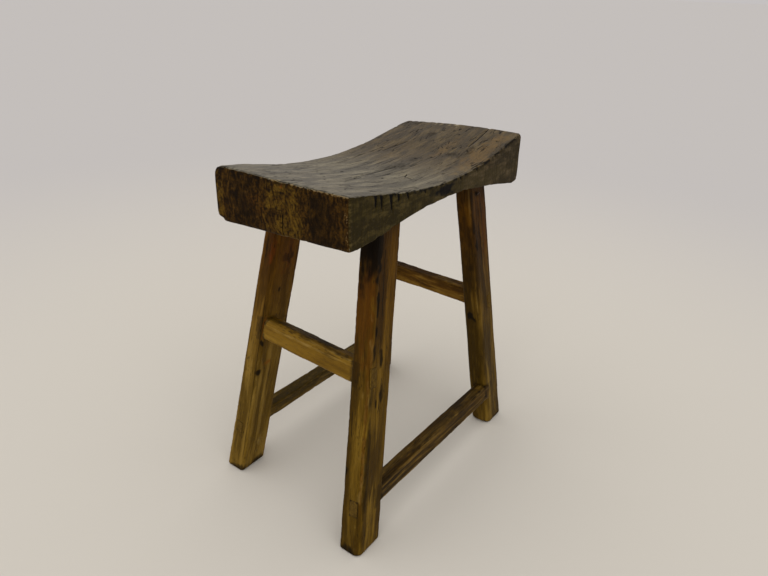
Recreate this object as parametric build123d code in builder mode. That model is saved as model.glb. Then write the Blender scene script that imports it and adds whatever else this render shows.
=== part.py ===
from build123d import *
from dataclasses import dataclass
from math import atan, cos, radians, sin, sqrt, tan
import os

# A saddle stool: a thick carved seat slab on four splayed legs, tied by two end rails and
# two side rails. Lengths are in millimetres. X runs along the seat, Y across it and Z up.
# The origin is on the floor, in the middle of the stool's overall length and width.
# The near end is the one towards -X. Left is the +Y side and right is the -Y side.

# Seat slab
seat_length = 430.0
seat_width = 218.0
seat_height = 500.0
seat_end_thickness = 69.5
seat_waist_thickness = 22.0
saddle_dip = 26.0
saddle_arc_share = 0.55
arch_landing = 18.0
seat_lean = 1.4
seat_lower_round = 8.0
seat_arris = 2.5
arch_arris = 1.5
far_right_rise = 5.5
corner_near_left = 5.0
corner_near_right = 3.5
corner_far_right = 3.5
corner_far_left = 6.0

# Legs, thicker across the stool at the foot than at the head. Their heads are set in from the
# seat's ends and sides, and their feet splay out from there.
head_inset = 104.0
head_inset_across = 31.5
head_length = 52.4
head_width = 24.8
foot_length = 48.5
foot_width = 33.3
foot_wear = 1.5
splay_near_left = 70.5
splay_near_right = 91.5
splay_far_right = 66.5
splay_far_left = 72.0
splay_across = 48.0
corner_leg_near_left = 4.0
corner_leg_near_right = 5.0
corner_leg_far_right = 7.5
corner_leg_far_left = 6.5
corner_limit_share = 0.45

# Blind tenons of the legs in the seat
seat_tenon_length = 30.0
seat_tenon_width = 13.0
seat_tenon_height = 22.0

# Rails, each placed by the height of its upper edge
end_rail_top_near = 267.0
end_rail_top_far = 255.5
end_rail_depth_near = 32.5
end_rail_depth_far = 29.5
end_rail_thickness = 22.5
end_rail_arris = 5.0
side_rail_top_left = 89.5
side_rail_top_right = 83.0
side_rail_depth_left = 23.5
side_rail_depth_right = 28.0
side_rail_thickness = 22.5
side_rail_arris = 3.5
rail_inset = 1.0
lap_stand = 2.0
lap_length = 11.0
lap_round = 3.0

# Through tenons of the rails in the legs
rail_tenon_thickness = 13.0
rail_tenon_shoulder = 2.5

# Nail through the far right leg, up into the seat
nail_drop = 17.0
nail_rise = 52.0
nail_length = 46.0
nail_head_radius = 3.6
nail_head_height = 1.6
nail_head_rim = 0.5
nail_radius = 1.7
nail_tip_radius = 0.5

# Joints: hairline gap on every seat, and one overrun for all cuts
fit_gap = 0.15
end_gap = 1.0
overrun = 10.0

# Heights and places that follow from the sizes above
half_length = seat_length / 2
saddle_floor = seat_end_thickness - saddle_dip
arch_rise = saddle_floor - seat_waist_thickness
landing_height = seat_height - seat_end_thickness
arch_crown = landing_height + arch_rise
arch_half = half_length - arch_landing
arch_radius = (arch_half**2 + arch_rise**2) / (2 * arch_rise)
saddle_arc_half = half_length * saddle_arc_share
saddle_arc_rise = saddle_dip * saddle_arc_half / (seat_length - saddle_arc_half)
head_reach = half_length - head_inset
head_spread = seat_width / 2 - head_inset_across
foot_spread = head_spread + splay_across
near_reach = head_reach + max(splay_near_left, splay_near_right) + foot_length / 2
far_reach = head_reach + max(splay_far_left, splay_far_right) + foot_length / 2
seat_middle = (max(near_reach, half_length) - max(far_reach, half_length)) / 2


def arch_height(reach, across=0.0):
    """Height of the seat's underside over the floor, at this place along and across the seat."""
    level = arch_crown - arch_radius + sqrt(arch_radius**2 - reach**2)
    return level - across * tan(radians(seat_lean))


@dataclass
class Leg:
    """A splayed leg, from its foot on the floor to its head under the arch's crown."""

    name: str
    end: int
    side: int
    splay: float
    corner: float

    def share(self, height):
        return height / arch_crown

    def centre(self, height):
        along = head_reach + self.splay * (1 - self.share(height))
        across = head_spread + splay_across * (1 - self.share(height))
        return Vector(seat_middle + self.end * along, self.side * across, height)

    def size(self, height):
        length = foot_length + (head_length - foot_length) * self.share(height)
        width = foot_width + (head_width - foot_width) * self.share(height)
        return length, width

    def reach_out(self, outward, height):
        """Distance of the leg's outer face from the origin, along an outward direction."""
        length, width = self.size(height)
        half = abs(outward.X) * length / 2 + abs(outward.Y) * width / 2
        return self.centre(height).dot(outward) + half


leg_near_left = Leg("leg_near_left", -1, 1, splay_near_left, corner_leg_near_left)
leg_near_right = Leg("leg_near_right", -1, -1, splay_near_right, corner_leg_near_right)
leg_far_right = Leg("leg_far_right", 1, -1, splay_far_right, corner_leg_far_right)
leg_far_left = Leg("leg_far_left", 1, 1, splay_far_left, corner_leg_far_left)
legs = [leg_near_left, leg_near_right, leg_far_right, leg_far_left]


@dataclass
class Rail:
    """A rail between two legs, leaning with their outer faces."""

    name: str
    start: Leg
    finish: Leg
    outward: Vector
    top: float
    depth: float
    thickness: float
    arris: float
    finish_stand: float = -rail_inset

    def middle_height(self):
        return self.top - self.depth / 2

    def end_point(self, leg, stand):
        height = self.middle_height()
        depth_in = leg.reach_out(self.outward, height) + stand - self.thickness / 2
        centre = leg.centre(height)
        return centre + self.outward * (depth_in - centre.dot(self.outward))

    def run(self):
        first = self.end_point(self.start, -rail_inset)
        last = self.end_point(self.finish, self.finish_stand)
        return first, last - first

    def plane(self, extra=0.0):
        """Cross-section plane at the start leg, moved back by the extra length."""
        first, run = self.run()
        direction = run.normalized()
        low = (self.start.reach_out(self.outward, 0) + self.finish.reach_out(self.outward, 0)) / 2
        high = self.start.reach_out(self.outward, arch_crown)
        lean = atan((low - high) / arch_crown)
        normal = self.outward * cos(lean) + Vector(0, 0, sin(lean))
        normal = (normal - direction * normal.dot(direction)).normalized()
        return Plane(origin=first - direction * extra, x_dir=normal, z_dir=direction)


near_out = Vector(-1, 0, 0)
far_out = Vector(1, 0, 0)
left_out = Vector(0, 1, 0)
right_out = Vector(0, -1, 0)
end_rail_near = Rail("end_rail_near", leg_near_left, leg_near_right, near_out,
                     end_rail_top_near, end_rail_depth_near, end_rail_thickness, end_rail_arris)
end_rail_far = Rail("end_rail_far", leg_far_left, leg_far_right, far_out,
                    end_rail_top_far, end_rail_depth_far, end_rail_thickness, end_rail_arris)
side_rail_left = Rail("side_rail_left", leg_near_left, leg_far_left, left_out,
                      side_rail_top_left, side_rail_depth_left, side_rail_thickness, side_rail_arris)
side_rail_right = Rail("side_rail_right", leg_near_right, leg_far_right, right_out,
                       side_rail_top_right, side_rail_depth_right, side_rail_thickness,
                       side_rail_arris, lap_stand)
rails = [end_rail_near, end_rail_far, side_rail_left, side_rail_right]


def leg_form(leg, grow=0.0):
    """The leg's tapered outside from the floor into the seat, larger all round by grow."""
    with BuildPart() as form:
        for height in (0, seat_height - saddle_dip):
            length, width = leg.size(height)
            corner = min(leg.corner, width * corner_limit_share)
            with BuildSketch(Plane(origin=leg.centre(height))):
                RectangleRounded(length + 2 * grow, width + 2 * grow, corner + grow)
        loft(ruled=True)
    return form.part


def seat_tenon(leg, grow=0.0, rise=0.0):
    """The leaning tongue on a leg's head, larger by grow and taller by rise."""
    top = arch_height(head_reach, leg.side * head_spread) + seat_tenon_height + rise
    with BuildPart() as tongue:
        for height in (landing_height, top):
            with BuildSketch(Plane(origin=leg.centre(height))):
                Rectangle(seat_tenon_length + 2 * grow, seat_tenon_width + 2 * grow)
        loft(ruled=True)
    return tongue.part


def rail_tenon(rail, grow=0.0):
    """One straight bar through both legs, larger by grow; it runs past both outer faces."""
    extra = foot_length + overrun
    first, run = rail.run()
    height = rail.depth - 2 * rail_tenon_shoulder
    with BuildPart() as bar:
        with BuildSketch(rail.plane(extra)):
            Rectangle(rail_tenon_thickness + 2 * grow, height + 2 * grow)
        extrude(amount=run.length + 2 * extra)
    return bar.part


def nail_form(grow=0.0, sink=0.0):
    """The nail on its slanting axis, larger by grow, its head drawn out by sink."""
    entry_height = arch_height(head_reach, leg_far_right.side * head_spread) - nail_drop
    entry = leg_far_right.centre(entry_height)
    entry = Vector(entry.X, -leg_far_right.reach_out(right_out, entry_height), entry_height)
    axis = Vector(0, cos(radians(nail_rise)), sin(radians(nail_rise)))
    side = Vector(1, 0, 0)
    head = nail_head_radius + grow
    shank = nail_radius + grow
    tip = nail_tip_radius + grow
    with BuildPart() as nail:
        with BuildSketch(Plane(origin=entry, x_dir=side, z_dir=side.cross(axis))):
            with BuildLine():
                Polyline((0, -nail_head_height - sink), (head, -nail_head_rim - sink), (head, 0),
                         (shank, 0), (tip, nail_length + grow), (0, nail_length + grow),
                         close=True)
            make_face()
        revolve(axis=Axis(entry, axis))
    return nail.part


# Seat slab: the hollowed top and the arched underside in one profile on either side, the right
# one higher at its far end. The slab leans a little across the stool, higher on the right. Its
# own planes start at its landings.
seat_root = Vector(seat_middle, 0, landing_height)
seat_up = Vector(0, sin(radians(seat_lean)), cos(radians(seat_lean)))
along_seat = Vector(1, 0, 0)
seat_flat = Plane(origin=seat_root, x_dir=along_seat, z_dir=seat_up)
seat_upright = Plane(origin=seat_root, x_dir=along_seat, z_dir=along_seat.cross(seat_up))
seat_mortises = [seat_tenon(leg, fit_gap, end_gap) for leg in legs]
seat_nail_hole = nail_form(fit_gap)
with BuildPart() as seat:
    for to_right, far_rise in ((seat_width / 2, far_right_rise), (-seat_width / 2, 0.0)):
        with BuildSketch(seat_upright.offset(to_right)):
            with BuildLine():
                hollow = ThreePointArc((-saddle_arc_half, saddle_floor + saddle_arc_rise),
                                       (0, saddle_floor),
                                       (saddle_arc_half, saddle_floor + saddle_arc_rise))
                Polyline(hollow @ 1, (half_length, seat_end_thickness + far_rise),
                         (half_length, 0), (arch_half, 0))
                ThreePointArc((arch_half, 0), (0, arch_rise), (-arch_half, 0))
                Polyline((-arch_half, 0), (-half_length, 0), (-half_length, seat_end_thickness),
                         hollow @ 0)
            make_face()
            end_corners = vertices().group_by(Axis.X)
            lower_corners = [end_corners[end].sort_by(Axis.Y)[0] for end in (0, -1)]
            fillet(lower_corners, seat_lower_round)
    loft(ruled=True)
    with BuildSketch(seat_flat):
        Rectangle(seat_length, seat_width)
        for end, side, radius in ((-1, -1, corner_near_right), (-1, 1, corner_near_left),
                                  (1, -1, corner_far_right), (1, 1, corner_far_left)):
            corner = vertices().sort_by_distance((end * half_length, side * seat_width / 2))[0]
            fillet(corner, radius)
    extrude(amount=seat_end_thickness + overrun, both=True, mode=Mode.INTERSECT)
    top_edges = faces().sort_by(Axis.Z)[-3:].edges()
    across_edges = top_edges.filter_by(Axis(seat_root, seat_flat.y_dir)).sort_by(Axis.X)
    fillet(top_edges - across_edges[1:-1], seat_arris)
    fillet(edges().filter_by(GeomType.CIRCLE).sort_by(SortBy.LENGTH)[-2:], arch_arris)
    add(seat_mortises, mode=Mode.SUBTRACT)
    add(seat_nail_hole, mode=Mode.SUBTRACT)

# What the seat leaves free below it, lowered by the hairline gap, trims the legs' shoulders
with BuildPart() as above_shoulders:
    with BuildSketch(seat_upright):
        with BuildLine():
            shoulder_line = ThreePointArc((-arch_half, -fit_gap), (0, arch_rise - fit_gap),
                                          (arch_half, -fit_gap))
            Polyline(shoulder_line @ 1, (arch_half, seat_end_thickness),
                     (-arch_half, seat_end_thickness), shoulder_line @ 0)
        make_face()
    extrude(amount=seat_width, both=True)

os.makedirs("parts", exist_ok=True)

seat.part.label = "seat"
export_step(seat.part, "parts/seat.step")

# Legs, each with a mortise for every rail that meets it
for leg in legs:
    form = leg_form(leg)
    tongue = seat_tenon(leg)
    holes = [rail_tenon(rail, fit_gap) for rail in rails if leg in (rail.start, rail.finish)]
    if leg is leg_far_right:
        holes.append(nail_form(fit_gap, overrun))
    with BuildPart() as leg_piece:
        add(form)
        fillet(edges().filter_by_position(Axis.Z, -fit_gap, fit_gap), foot_wear)
        add(above_shoulders.part, mode=Mode.SUBTRACT)
        add(tongue)
        add(holes, mode=Mode.SUBTRACT)
    leg_piece.part.label = leg.name
    export_step(leg_piece.part, f"parts/{leg.name}.step")

# Rails: a bar scribed to both legs, with tenons that end flush in their outer faces
for rail in rails:
    first, run = rail.run()
    lapped = rail.finish_stand > 0
    lap_cut = rail.finish.size(rail.top)[0] / 2 - lap_length if lapped else 0
    bodies = [leg_form(leg) for leg in (rail.start, rail.finish)]
    scribes = [leg_form(leg, fit_gap) for leg in (rail.start, rail.finish)]
    through_bar = rail_tenon(rail)
    with BuildPart() as bar:
        with BuildSketch(rail.plane()):
            RectangleRounded(rail.thickness, rail.depth, rail.arris)
        extrude(amount=run.length - lap_cut)
        if lapped:
            fillet(faces().sort_by(Axis.X)[-1].edges(), lap_round)
    with BuildPart() as reach:
        add(bar.part)
        add(bodies)
    with BuildPart() as tenons:
        add(through_bar)
        add(reach.part, mode=Mode.INTERSECT)
    with BuildPart() as rail_piece:
        add(bar.part)
        add(scribes, mode=Mode.SUBTRACT)
        add(tenons.part)
    rail_piece.part.label = rail.name
    export_step(rail_piece.part, f"parts/{rail.name}.step")

# Nail
seat_nail = nail_form()
seat_nail.label = "seat_nail"
export_step(seat_nail, "parts/seat_nail.step")
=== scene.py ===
"""Looks of an old elm saddle stool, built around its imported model.

Each timber is a closed mesh with the wear of long use, and each finish is made of nodes. Lengths are
in metres and angles in degrees. X runs along the seat, Y across it to the left, and Z up.
"""
import logging
import math
from dataclasses import dataclass, field, replace
from enum import Enum
from typing import Callable, Sequence

import bpy
import numpy as np
from mathutils import Matrix, Vector


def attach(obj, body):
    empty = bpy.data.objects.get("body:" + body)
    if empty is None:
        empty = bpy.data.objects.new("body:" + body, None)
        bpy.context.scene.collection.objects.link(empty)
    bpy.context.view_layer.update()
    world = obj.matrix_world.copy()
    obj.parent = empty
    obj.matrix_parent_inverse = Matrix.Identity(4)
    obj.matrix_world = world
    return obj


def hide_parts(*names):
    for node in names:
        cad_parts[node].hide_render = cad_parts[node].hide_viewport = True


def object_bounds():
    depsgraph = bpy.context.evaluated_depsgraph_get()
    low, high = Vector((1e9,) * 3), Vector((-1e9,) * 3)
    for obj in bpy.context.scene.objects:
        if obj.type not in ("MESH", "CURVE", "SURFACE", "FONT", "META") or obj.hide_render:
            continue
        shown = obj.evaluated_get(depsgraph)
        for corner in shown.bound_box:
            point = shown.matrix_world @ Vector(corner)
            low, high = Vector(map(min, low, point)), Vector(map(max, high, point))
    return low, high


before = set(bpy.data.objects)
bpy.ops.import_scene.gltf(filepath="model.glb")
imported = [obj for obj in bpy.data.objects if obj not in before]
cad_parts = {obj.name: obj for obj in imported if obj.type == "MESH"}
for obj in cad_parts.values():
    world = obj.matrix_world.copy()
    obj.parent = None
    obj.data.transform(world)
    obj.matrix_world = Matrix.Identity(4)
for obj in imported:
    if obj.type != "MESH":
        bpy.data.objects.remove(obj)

MODEL_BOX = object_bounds()
BODY = "root"
LOG = logging.getLogger("saddle_stool")

Array = np.ndarray
Colour = tuple[float, float, float, float]
Pair = tuple[float, float]
Triple = tuple[float, float, float]
Quad = tuple[float, float, float, float]

# Numbers that stir the bits of a lattice point into a random one.
AXIS_STIR = np.array([73856093, 19349663, 83492791])
SEED_STIR = 2654435
BIT_STIR = 1274126177
WORD = 0xFFFFFFFF
LOW_HALF = 0xFFFF
MIDDLE = 0x7FFF

# How squarely a face looks along an axis, or down, to count as doing so.
SQUARE_ON = 0.7
DOWNWARD = -0.5

# Where a mark's edge starts and is full, as shares of its reach.
MARK_EDGE = (1.35, 0.35)


def tint(red: int, green: int, blue: int) -> Colour:
    """Turn a colour written in 0 to 255 display values into the renderer's linear one.

    Args:
        red: How much red.
        green: How much green.
        blue: How much blue.

    Returns:
        The linear colour, opaque.
    """
    shown = np.array([red, green, blue]) / 255
    linear = np.where(shown <= 0.04045, shown / 12.92, ((shown + 0.055) / 1.055) ** 2.4)
    return (*(float(value) for value in linear), 1.0)


def tints(*rows: tuple[int, int, int]) -> tuple[Colour, ...]:
    """Several colours at once."""
    return tuple(tint(*row) for row in rows)


def smooth(low: float, high: float, value: Array) -> Array:
    """Rise smoothly from zero at low to one at high; low may be the higher of the two."""
    share = np.clip((value - low) / (high - low), 0.0, 1.0)
    return share * share * (3 - 2 * share)


def gathered(dirt_and_shade: Triple, away: Array, rough: Array) -> Array:
    """Dirt and painted shade near something, by its strength, how far it goes and how ragged its edge is."""
    strength, reach, ragged = dirt_and_shade
    return strength * smooth(reach, 0.0, away + ragged * rough)


def lattice_noise(points: Array, seed: int) -> Array:
    """Smooth random values over space, one period to a unit.

    Args:
        points: Places, one row each.
        seed: Picks the pattern.

    Returns:
        Values from minus one to one.
    """
    base = np.floor(points).astype(np.int64)
    part = smooth(0.0, 1.0, points - base)
    total = np.zeros(len(points))
    for step in np.ndindex(2, 2, 2):
        stirred = np.bitwise_xor.reduce((base + np.array(step)) * AXIS_STIR, axis=1) ^ seed * SEED_STIR
        stirred = (stirred ^ (stirred >> 13)) * BIT_STIR & WORD
        stirred = (stirred ^ (stirred >> 16)) & LOW_HALF
        total += np.prod(np.where(np.array(step) == 1, part, 1 - part), axis=1) * stirred / MIDDLE
    return total - 1


def graded(length: float, step: float, reach: float, count: int, power: float) -> Array:
    """Divide a length into steps that are finer near both of its ends.

    Args:
        length: The length to divide.
        step: The step in the middle.
        reach: How far from each end the fine steps go.
        count: How many fine steps each end has.
        power: One for even fine steps, two for steps that shrink towards the end.

    Returns:
        Shares of the length, from zero to one.
    """
    fine = reach * (np.arange(count + 1) / count) ** power
    middle = np.linspace(reach, length - reach, max(2, round((length - 2 * reach) / step) + 1))
    return np.unique(np.concatenate([fine, middle, length - fine]).round(7)) / length


def end_inset(radius: float, distance: Array) -> Array:
    """How far a rounded end draws a side in, at this distance from the end."""
    left = np.clip(radius - distance, 0.0, radius)
    return radius - np.sqrt(radius**2 - left**2)


def box_lattice(lines: Sequence[Array]) -> tuple[Array, Array]:
    """Make the closed skin of a box from lines along its three axes.

    Args:
        lines: Shares of the lines along, across and through the box.

    Returns:
        The corner points as shares, and the four-sided faces.
    """
    sizes = [len(line) for line in lines]
    sheets = [(axis, end) for axis in range(3) for end in (0, -1)]
    shell = np.zeros(sizes, bool)
    for axis, end in sheets:
        np.moveaxis(shell, axis, 0)[end] = True
    index = np.full(sizes, -1)
    index[shell] = np.arange(shell.sum())
    points = np.stack(np.meshgrid(*lines, indexing="ij"), axis=-1)[shell]
    faces = []
    for axis, end in sheets:
        sheet = np.take(index, end, axis=axis)
        quads = [sheet[:-1, :-1], sheet[1:, :-1], sheet[1:, 1:], sheet[:-1, 1:]]
        outward = (end == -1) != (axis == 1)
        faces.append(np.stack(quads if outward else quads[::-1], axis=-1).reshape(-1, 4))
    return points, np.concatenate(faces)


def point_normals(points: Array, faces: Array) -> Array:
    """Find which way a four-sided mesh looks at each of its points.

    Args:
        points: The points.
        faces: The faces.

    Returns:
        Unit normals.
    """
    corners = points[faces]
    flat = np.cross(corners[:, 2] - corners[:, 0], corners[:, 3] - corners[:, 1])
    normals = np.zeros_like(points)
    for corner in range(4):
        np.add.at(normals, faces[:, corner], flat)
    return normals / np.maximum(np.linalg.norm(normals, axis=1, keepdims=True), 1e-12)


def line_offset(flat: Array, points: Sequence[Pair]) -> tuple[Array, Array]:
    """Where places lie beside a bent line.

    Args:
        flat: Places on a plane.
        points: The line's corners.

    Returns:
        Signed distance to the side of the nearest stretch, and distance past its ends.
    """
    best_side, best_past = np.ones(len(flat)), np.ones(len(flat))
    for first, last in zip(np.array(points[:-1]), np.array(points[1:])):
        length = np.linalg.norm(last - first)
        run = (last - first) / length
        rel = flat - first
        along = rel @ run
        side = rel[:, 0] * run[1] - rel[:, 1] * run[0]
        past = np.maximum(np.maximum(-along, along - length), 0.0)
        nearer = np.hypot(side, past) < np.hypot(best_side, best_past)
        best_side = np.where(nearer, side, best_side)
        best_past = np.where(nearer, past, best_past)
    return best_side, best_past


class Stain(Enum):
    """What a mark adds to the wood's colour; the value is the mesh attribute that holds it."""

    # Dirt, and painted shade under the seat and where parts meet.
    DARK = "dark"
    HONEY = "honey"
    PALE = "pale"
    # Wear, and painted sheen and highlights along edges.
    WORN_AND_SHEEN = "worn"


class Side(Enum):
    """A side of a timber: the local axis that it faces along, and which way."""

    START = (0, -1)
    ACROSS_LOW = (1, -1)
    THROUGH_LOW = (2, -1)
    THROUGH_HIGH = (2, 1)


class Wear(Enum):
    """Patterns of wear: periods per metre along each axis, layers, and what the seed gets added."""

    WAVES = ((9.0, 45.0, 45.0), 2, 0)
    RIPPLES = ((70.0, 130.0, 130.0), 2, 9)
    CHIPS = ((120.0, 120.0, 120.0), 2, 20)
    EDGES = ((22.0, 1.0, 1.0), 3, 40)
    MARKS = ((90.0, 160.0, 160.0), 2, 5)
    RUBBING = ((12.0, 30.0, 30.0), 3, 60)
    DIRT_AND_SHADE = ((50.0, 70.0, 70.0), 3, 71)
    SEAT_GRIME = ((90.0, 60.0, 60.0), 3, 71)
    SEAT_BITES = ((60.0, 150.0, 60.0), 1, 31)
    SEAT_NICKS = ((70.0, 70.0, 190.0), 2, 35)
    SEAT_BEADS = ((60.0, 160.0, 110.0), 3, 62)
    SEAT_CHIPPED = ((60.0, 120.0, 60.0), 2, 73)

    def at(self, places: Array, seed: int) -> Array:
        """Work out the pattern.

        Args:
            places: Where, one row each.
            seed: The timber's seed.

        Returns:
            Values mostly between minus one and one.
        """
        scales, layers, shift = self.value
        periods = places * np.array(scales)
        return sum(lattice_noise(periods * 2**layer, seed + shift + layer) / 2**layer
                   for layer in range(layers))


@dataclass(frozen=True)
class Mark:
    """A patch of stain, rubbed light or deep colour on a timber; a few are painted shadows and painted
    highlights.

    Attributes:
        kind: What it adds.
        at: Its middle, in the timber's own axes.
        reach: How far it goes along each of them.
        strength: How strong it is in its middle.
        ragged: How ragged its edge is.
    """

    kind: Stain
    at: Triple
    reach: Triple
    strength: float = 1.0
    ragged: float = 0.45


@dataclass(frozen=True)
class Crack:
    """A thin dark line in the wood.

    Attributes:
        side: The side of the timber that it is on.
        points: Its course, on the side's two own axes in their order.
        width: Its width.
        depth: How deep the surface is sunk along it.
    """

    side: Side
    points: tuple[Pair, ...]
    width: float = 0.0011
    depth: float = 0.0


def marked(kind: Stain, *rows: tuple[Triple | float, ...]) -> tuple[Mark, ...]:
    """Marks of one kind; each row has a place, a reach and, where they differ, the rest."""
    return tuple(Mark(kind, *row) for row in rows)


def cracked(side: Side, *rows: tuple[tuple[Pair, ...] | float, ...]) -> tuple[Crack, ...]:
    """Cracks on one side; each row has a course, a width and, where it is sunk, a depth."""
    return tuple(Crack(side, *row) for row in rows)


@dataclass
class Outline:
    """The cross-section of a timber at many places at once.

    Attributes:
        across: Lowest and highest place across.
        through: Lowest and highest place through the thickness.
        corners: Radius of each long edge: low low, high low, high high, low high.
        bevel: One where an edge is cut flat, zero where it is round, in the same order.
        widest: The largest radius, as a share of the thinner way.
        cut: How flat a cut edge is; one leaves its ridges sharp.
    """

    across: tuple[Array, Array]
    through: tuple[Array, Array]
    corners: Array
    bevel: Quad = (0.0, 0.0, 0.0, 0.0)
    widest: float = 0.49
    cut: float = 1.1

    def lay(self, shares: Array) -> tuple[Array, Array, Array]:
        """Lay lattice points into the cross-section and round its long edges.

        Args:
            shares: Shares across and through, one row for each point.

        Returns:
            Places across, places through, and distance from the nearest long edge.
        """
        limits = (self.across, self.through)
        spans = [high - low for low, high in limits]
        from_low = [share * span for share, span in zip(shares.T, spans)]
        at_low = [place <= span / 2 for place, span in zip(from_low, spans)]
        nearest = [np.minimum(place, span - place) for place, span in zip(from_low, spans)]
        corner = np.where(at_low[0], np.where(at_low[1], 0, 3), np.where(at_low[1], 1, 2))
        radius = self.corners[np.arange(len(shares)), corner]
        radius = np.minimum(radius, self.widest * np.minimum(*spans))
        inner = [np.maximum(radius - distance, 0.0) for distance in nearest]
        round_norm = np.hypot(*inner)
        flat_norm = np.maximum((inner[0] + inner[1]) / self.cut, round_norm)
        bevel = np.array(self.bevel)[corner]
        norm = bevel * flat_norm + (1 - bevel) * round_norm
        drawn = 1 - np.maximum(*inner) / np.maximum(norm, 1e-9)
        drawn = np.where((inner[0] > 0) & (inner[1] > 0), drawn, 0.0)
        places = []
        for (low, high), is_low, distance, depth in zip(limits, at_low, nearest, inner):
            moved = distance + depth * drawn
            places.append(np.where(is_low, low + moved, high - moved))
        return places[0], places[1], np.hypot(*nearest)


@dataclass
class Skin:
    """The closed surface of a timber.

    Attributes:
        points: Its points in the row frame.
        own: The same points in the timber's own axes.
        edge: Their distance from the nearest long edge.
        end: Their distance from the nearer end.
        faces: Its four-sided faces.
    """

    points: Array
    own: Array
    edge: Array
    end: Array
    faces: Array


def math_node(operation: str, swapped: bool = False) -> Callable[..., "Shade"]:
    """Make a method of Shade that adds one Math node.

    Args:
        operation: What the node does.
        swapped: Whether the other value comes first.

    Returns:
        The method.
    """
    def method(shade: "Shade", *others: "Shade | float") -> "Shade":
        """Add the node for this shade and the other values."""
        values = (*others, shade) if swapped else (shade, *others)
        return shade.paint.add("ShaderNodeMath", {"operation": operation}, dict(enumerate(values)))
    return method


class Shade:
    """A number socket of a material; Python's operators on it add Math nodes."""

    __add__ = math_node("ADD")
    __radd__ = math_node("ADD", swapped=True)
    __sub__ = math_node("SUBTRACT")
    __rsub__ = math_node("SUBTRACT", swapped=True)
    __mul__ = math_node("MULTIPLY")
    __rmul__ = math_node("MULTIPLY", swapped=True)
    __truediv__ = math_node("DIVIDE")
    __abs__ = math_node("ABSOLUTE")
    sine = math_node("SINE")
    root = math_node("SQRT")
    larger = math_node("MAXIMUM")

    def __init__(self, paint: "Paint", socket: bpy.types.NodeSocket) -> None:
        """Wrap one output socket of a paint's nodes."""
        self.paint = paint
        self.socket = socket

    def clip(self) -> "Shade":
        """The value kept between zero and one."""
        return self.paint.add("ShaderNodeClamp", {}, {"Value": self, "Min": 0.0, "Max": 1.0})

    def rise(self, low: float, high: float, start: float = 0.0, end: float = 1.0) -> "Shade":
        """Go smoothly from start at low to end at high."""
        inputs = {"Value": self, "From Min": low, "From Max": high, "To Min": start, "To Max": end}
        return self.paint.add("ShaderNodeMapRange", {"interpolation_type": "SMOOTHSTEP"}, inputs)

    def fall(self, low: float, high: float) -> "Shade":
        """Fall smoothly from one at low to zero at high."""
        return self.rise(low, high, 1.0, 0.0)

    def swing(self, strength: float) -> "Shade":
        """A noise's swing about its average, this strong."""
        return (self - 0.5) * strength


@dataclass(frozen=True)
class Figure:
    """A noise of the renderer.

    Attributes:
        scales: Periods per metre along each axis.
        detail: How many finer layers it has.
        rough: How strong they are.
    """

    scales: Triple
    detail: float = 3.0
    rough: float = 0.55


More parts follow.
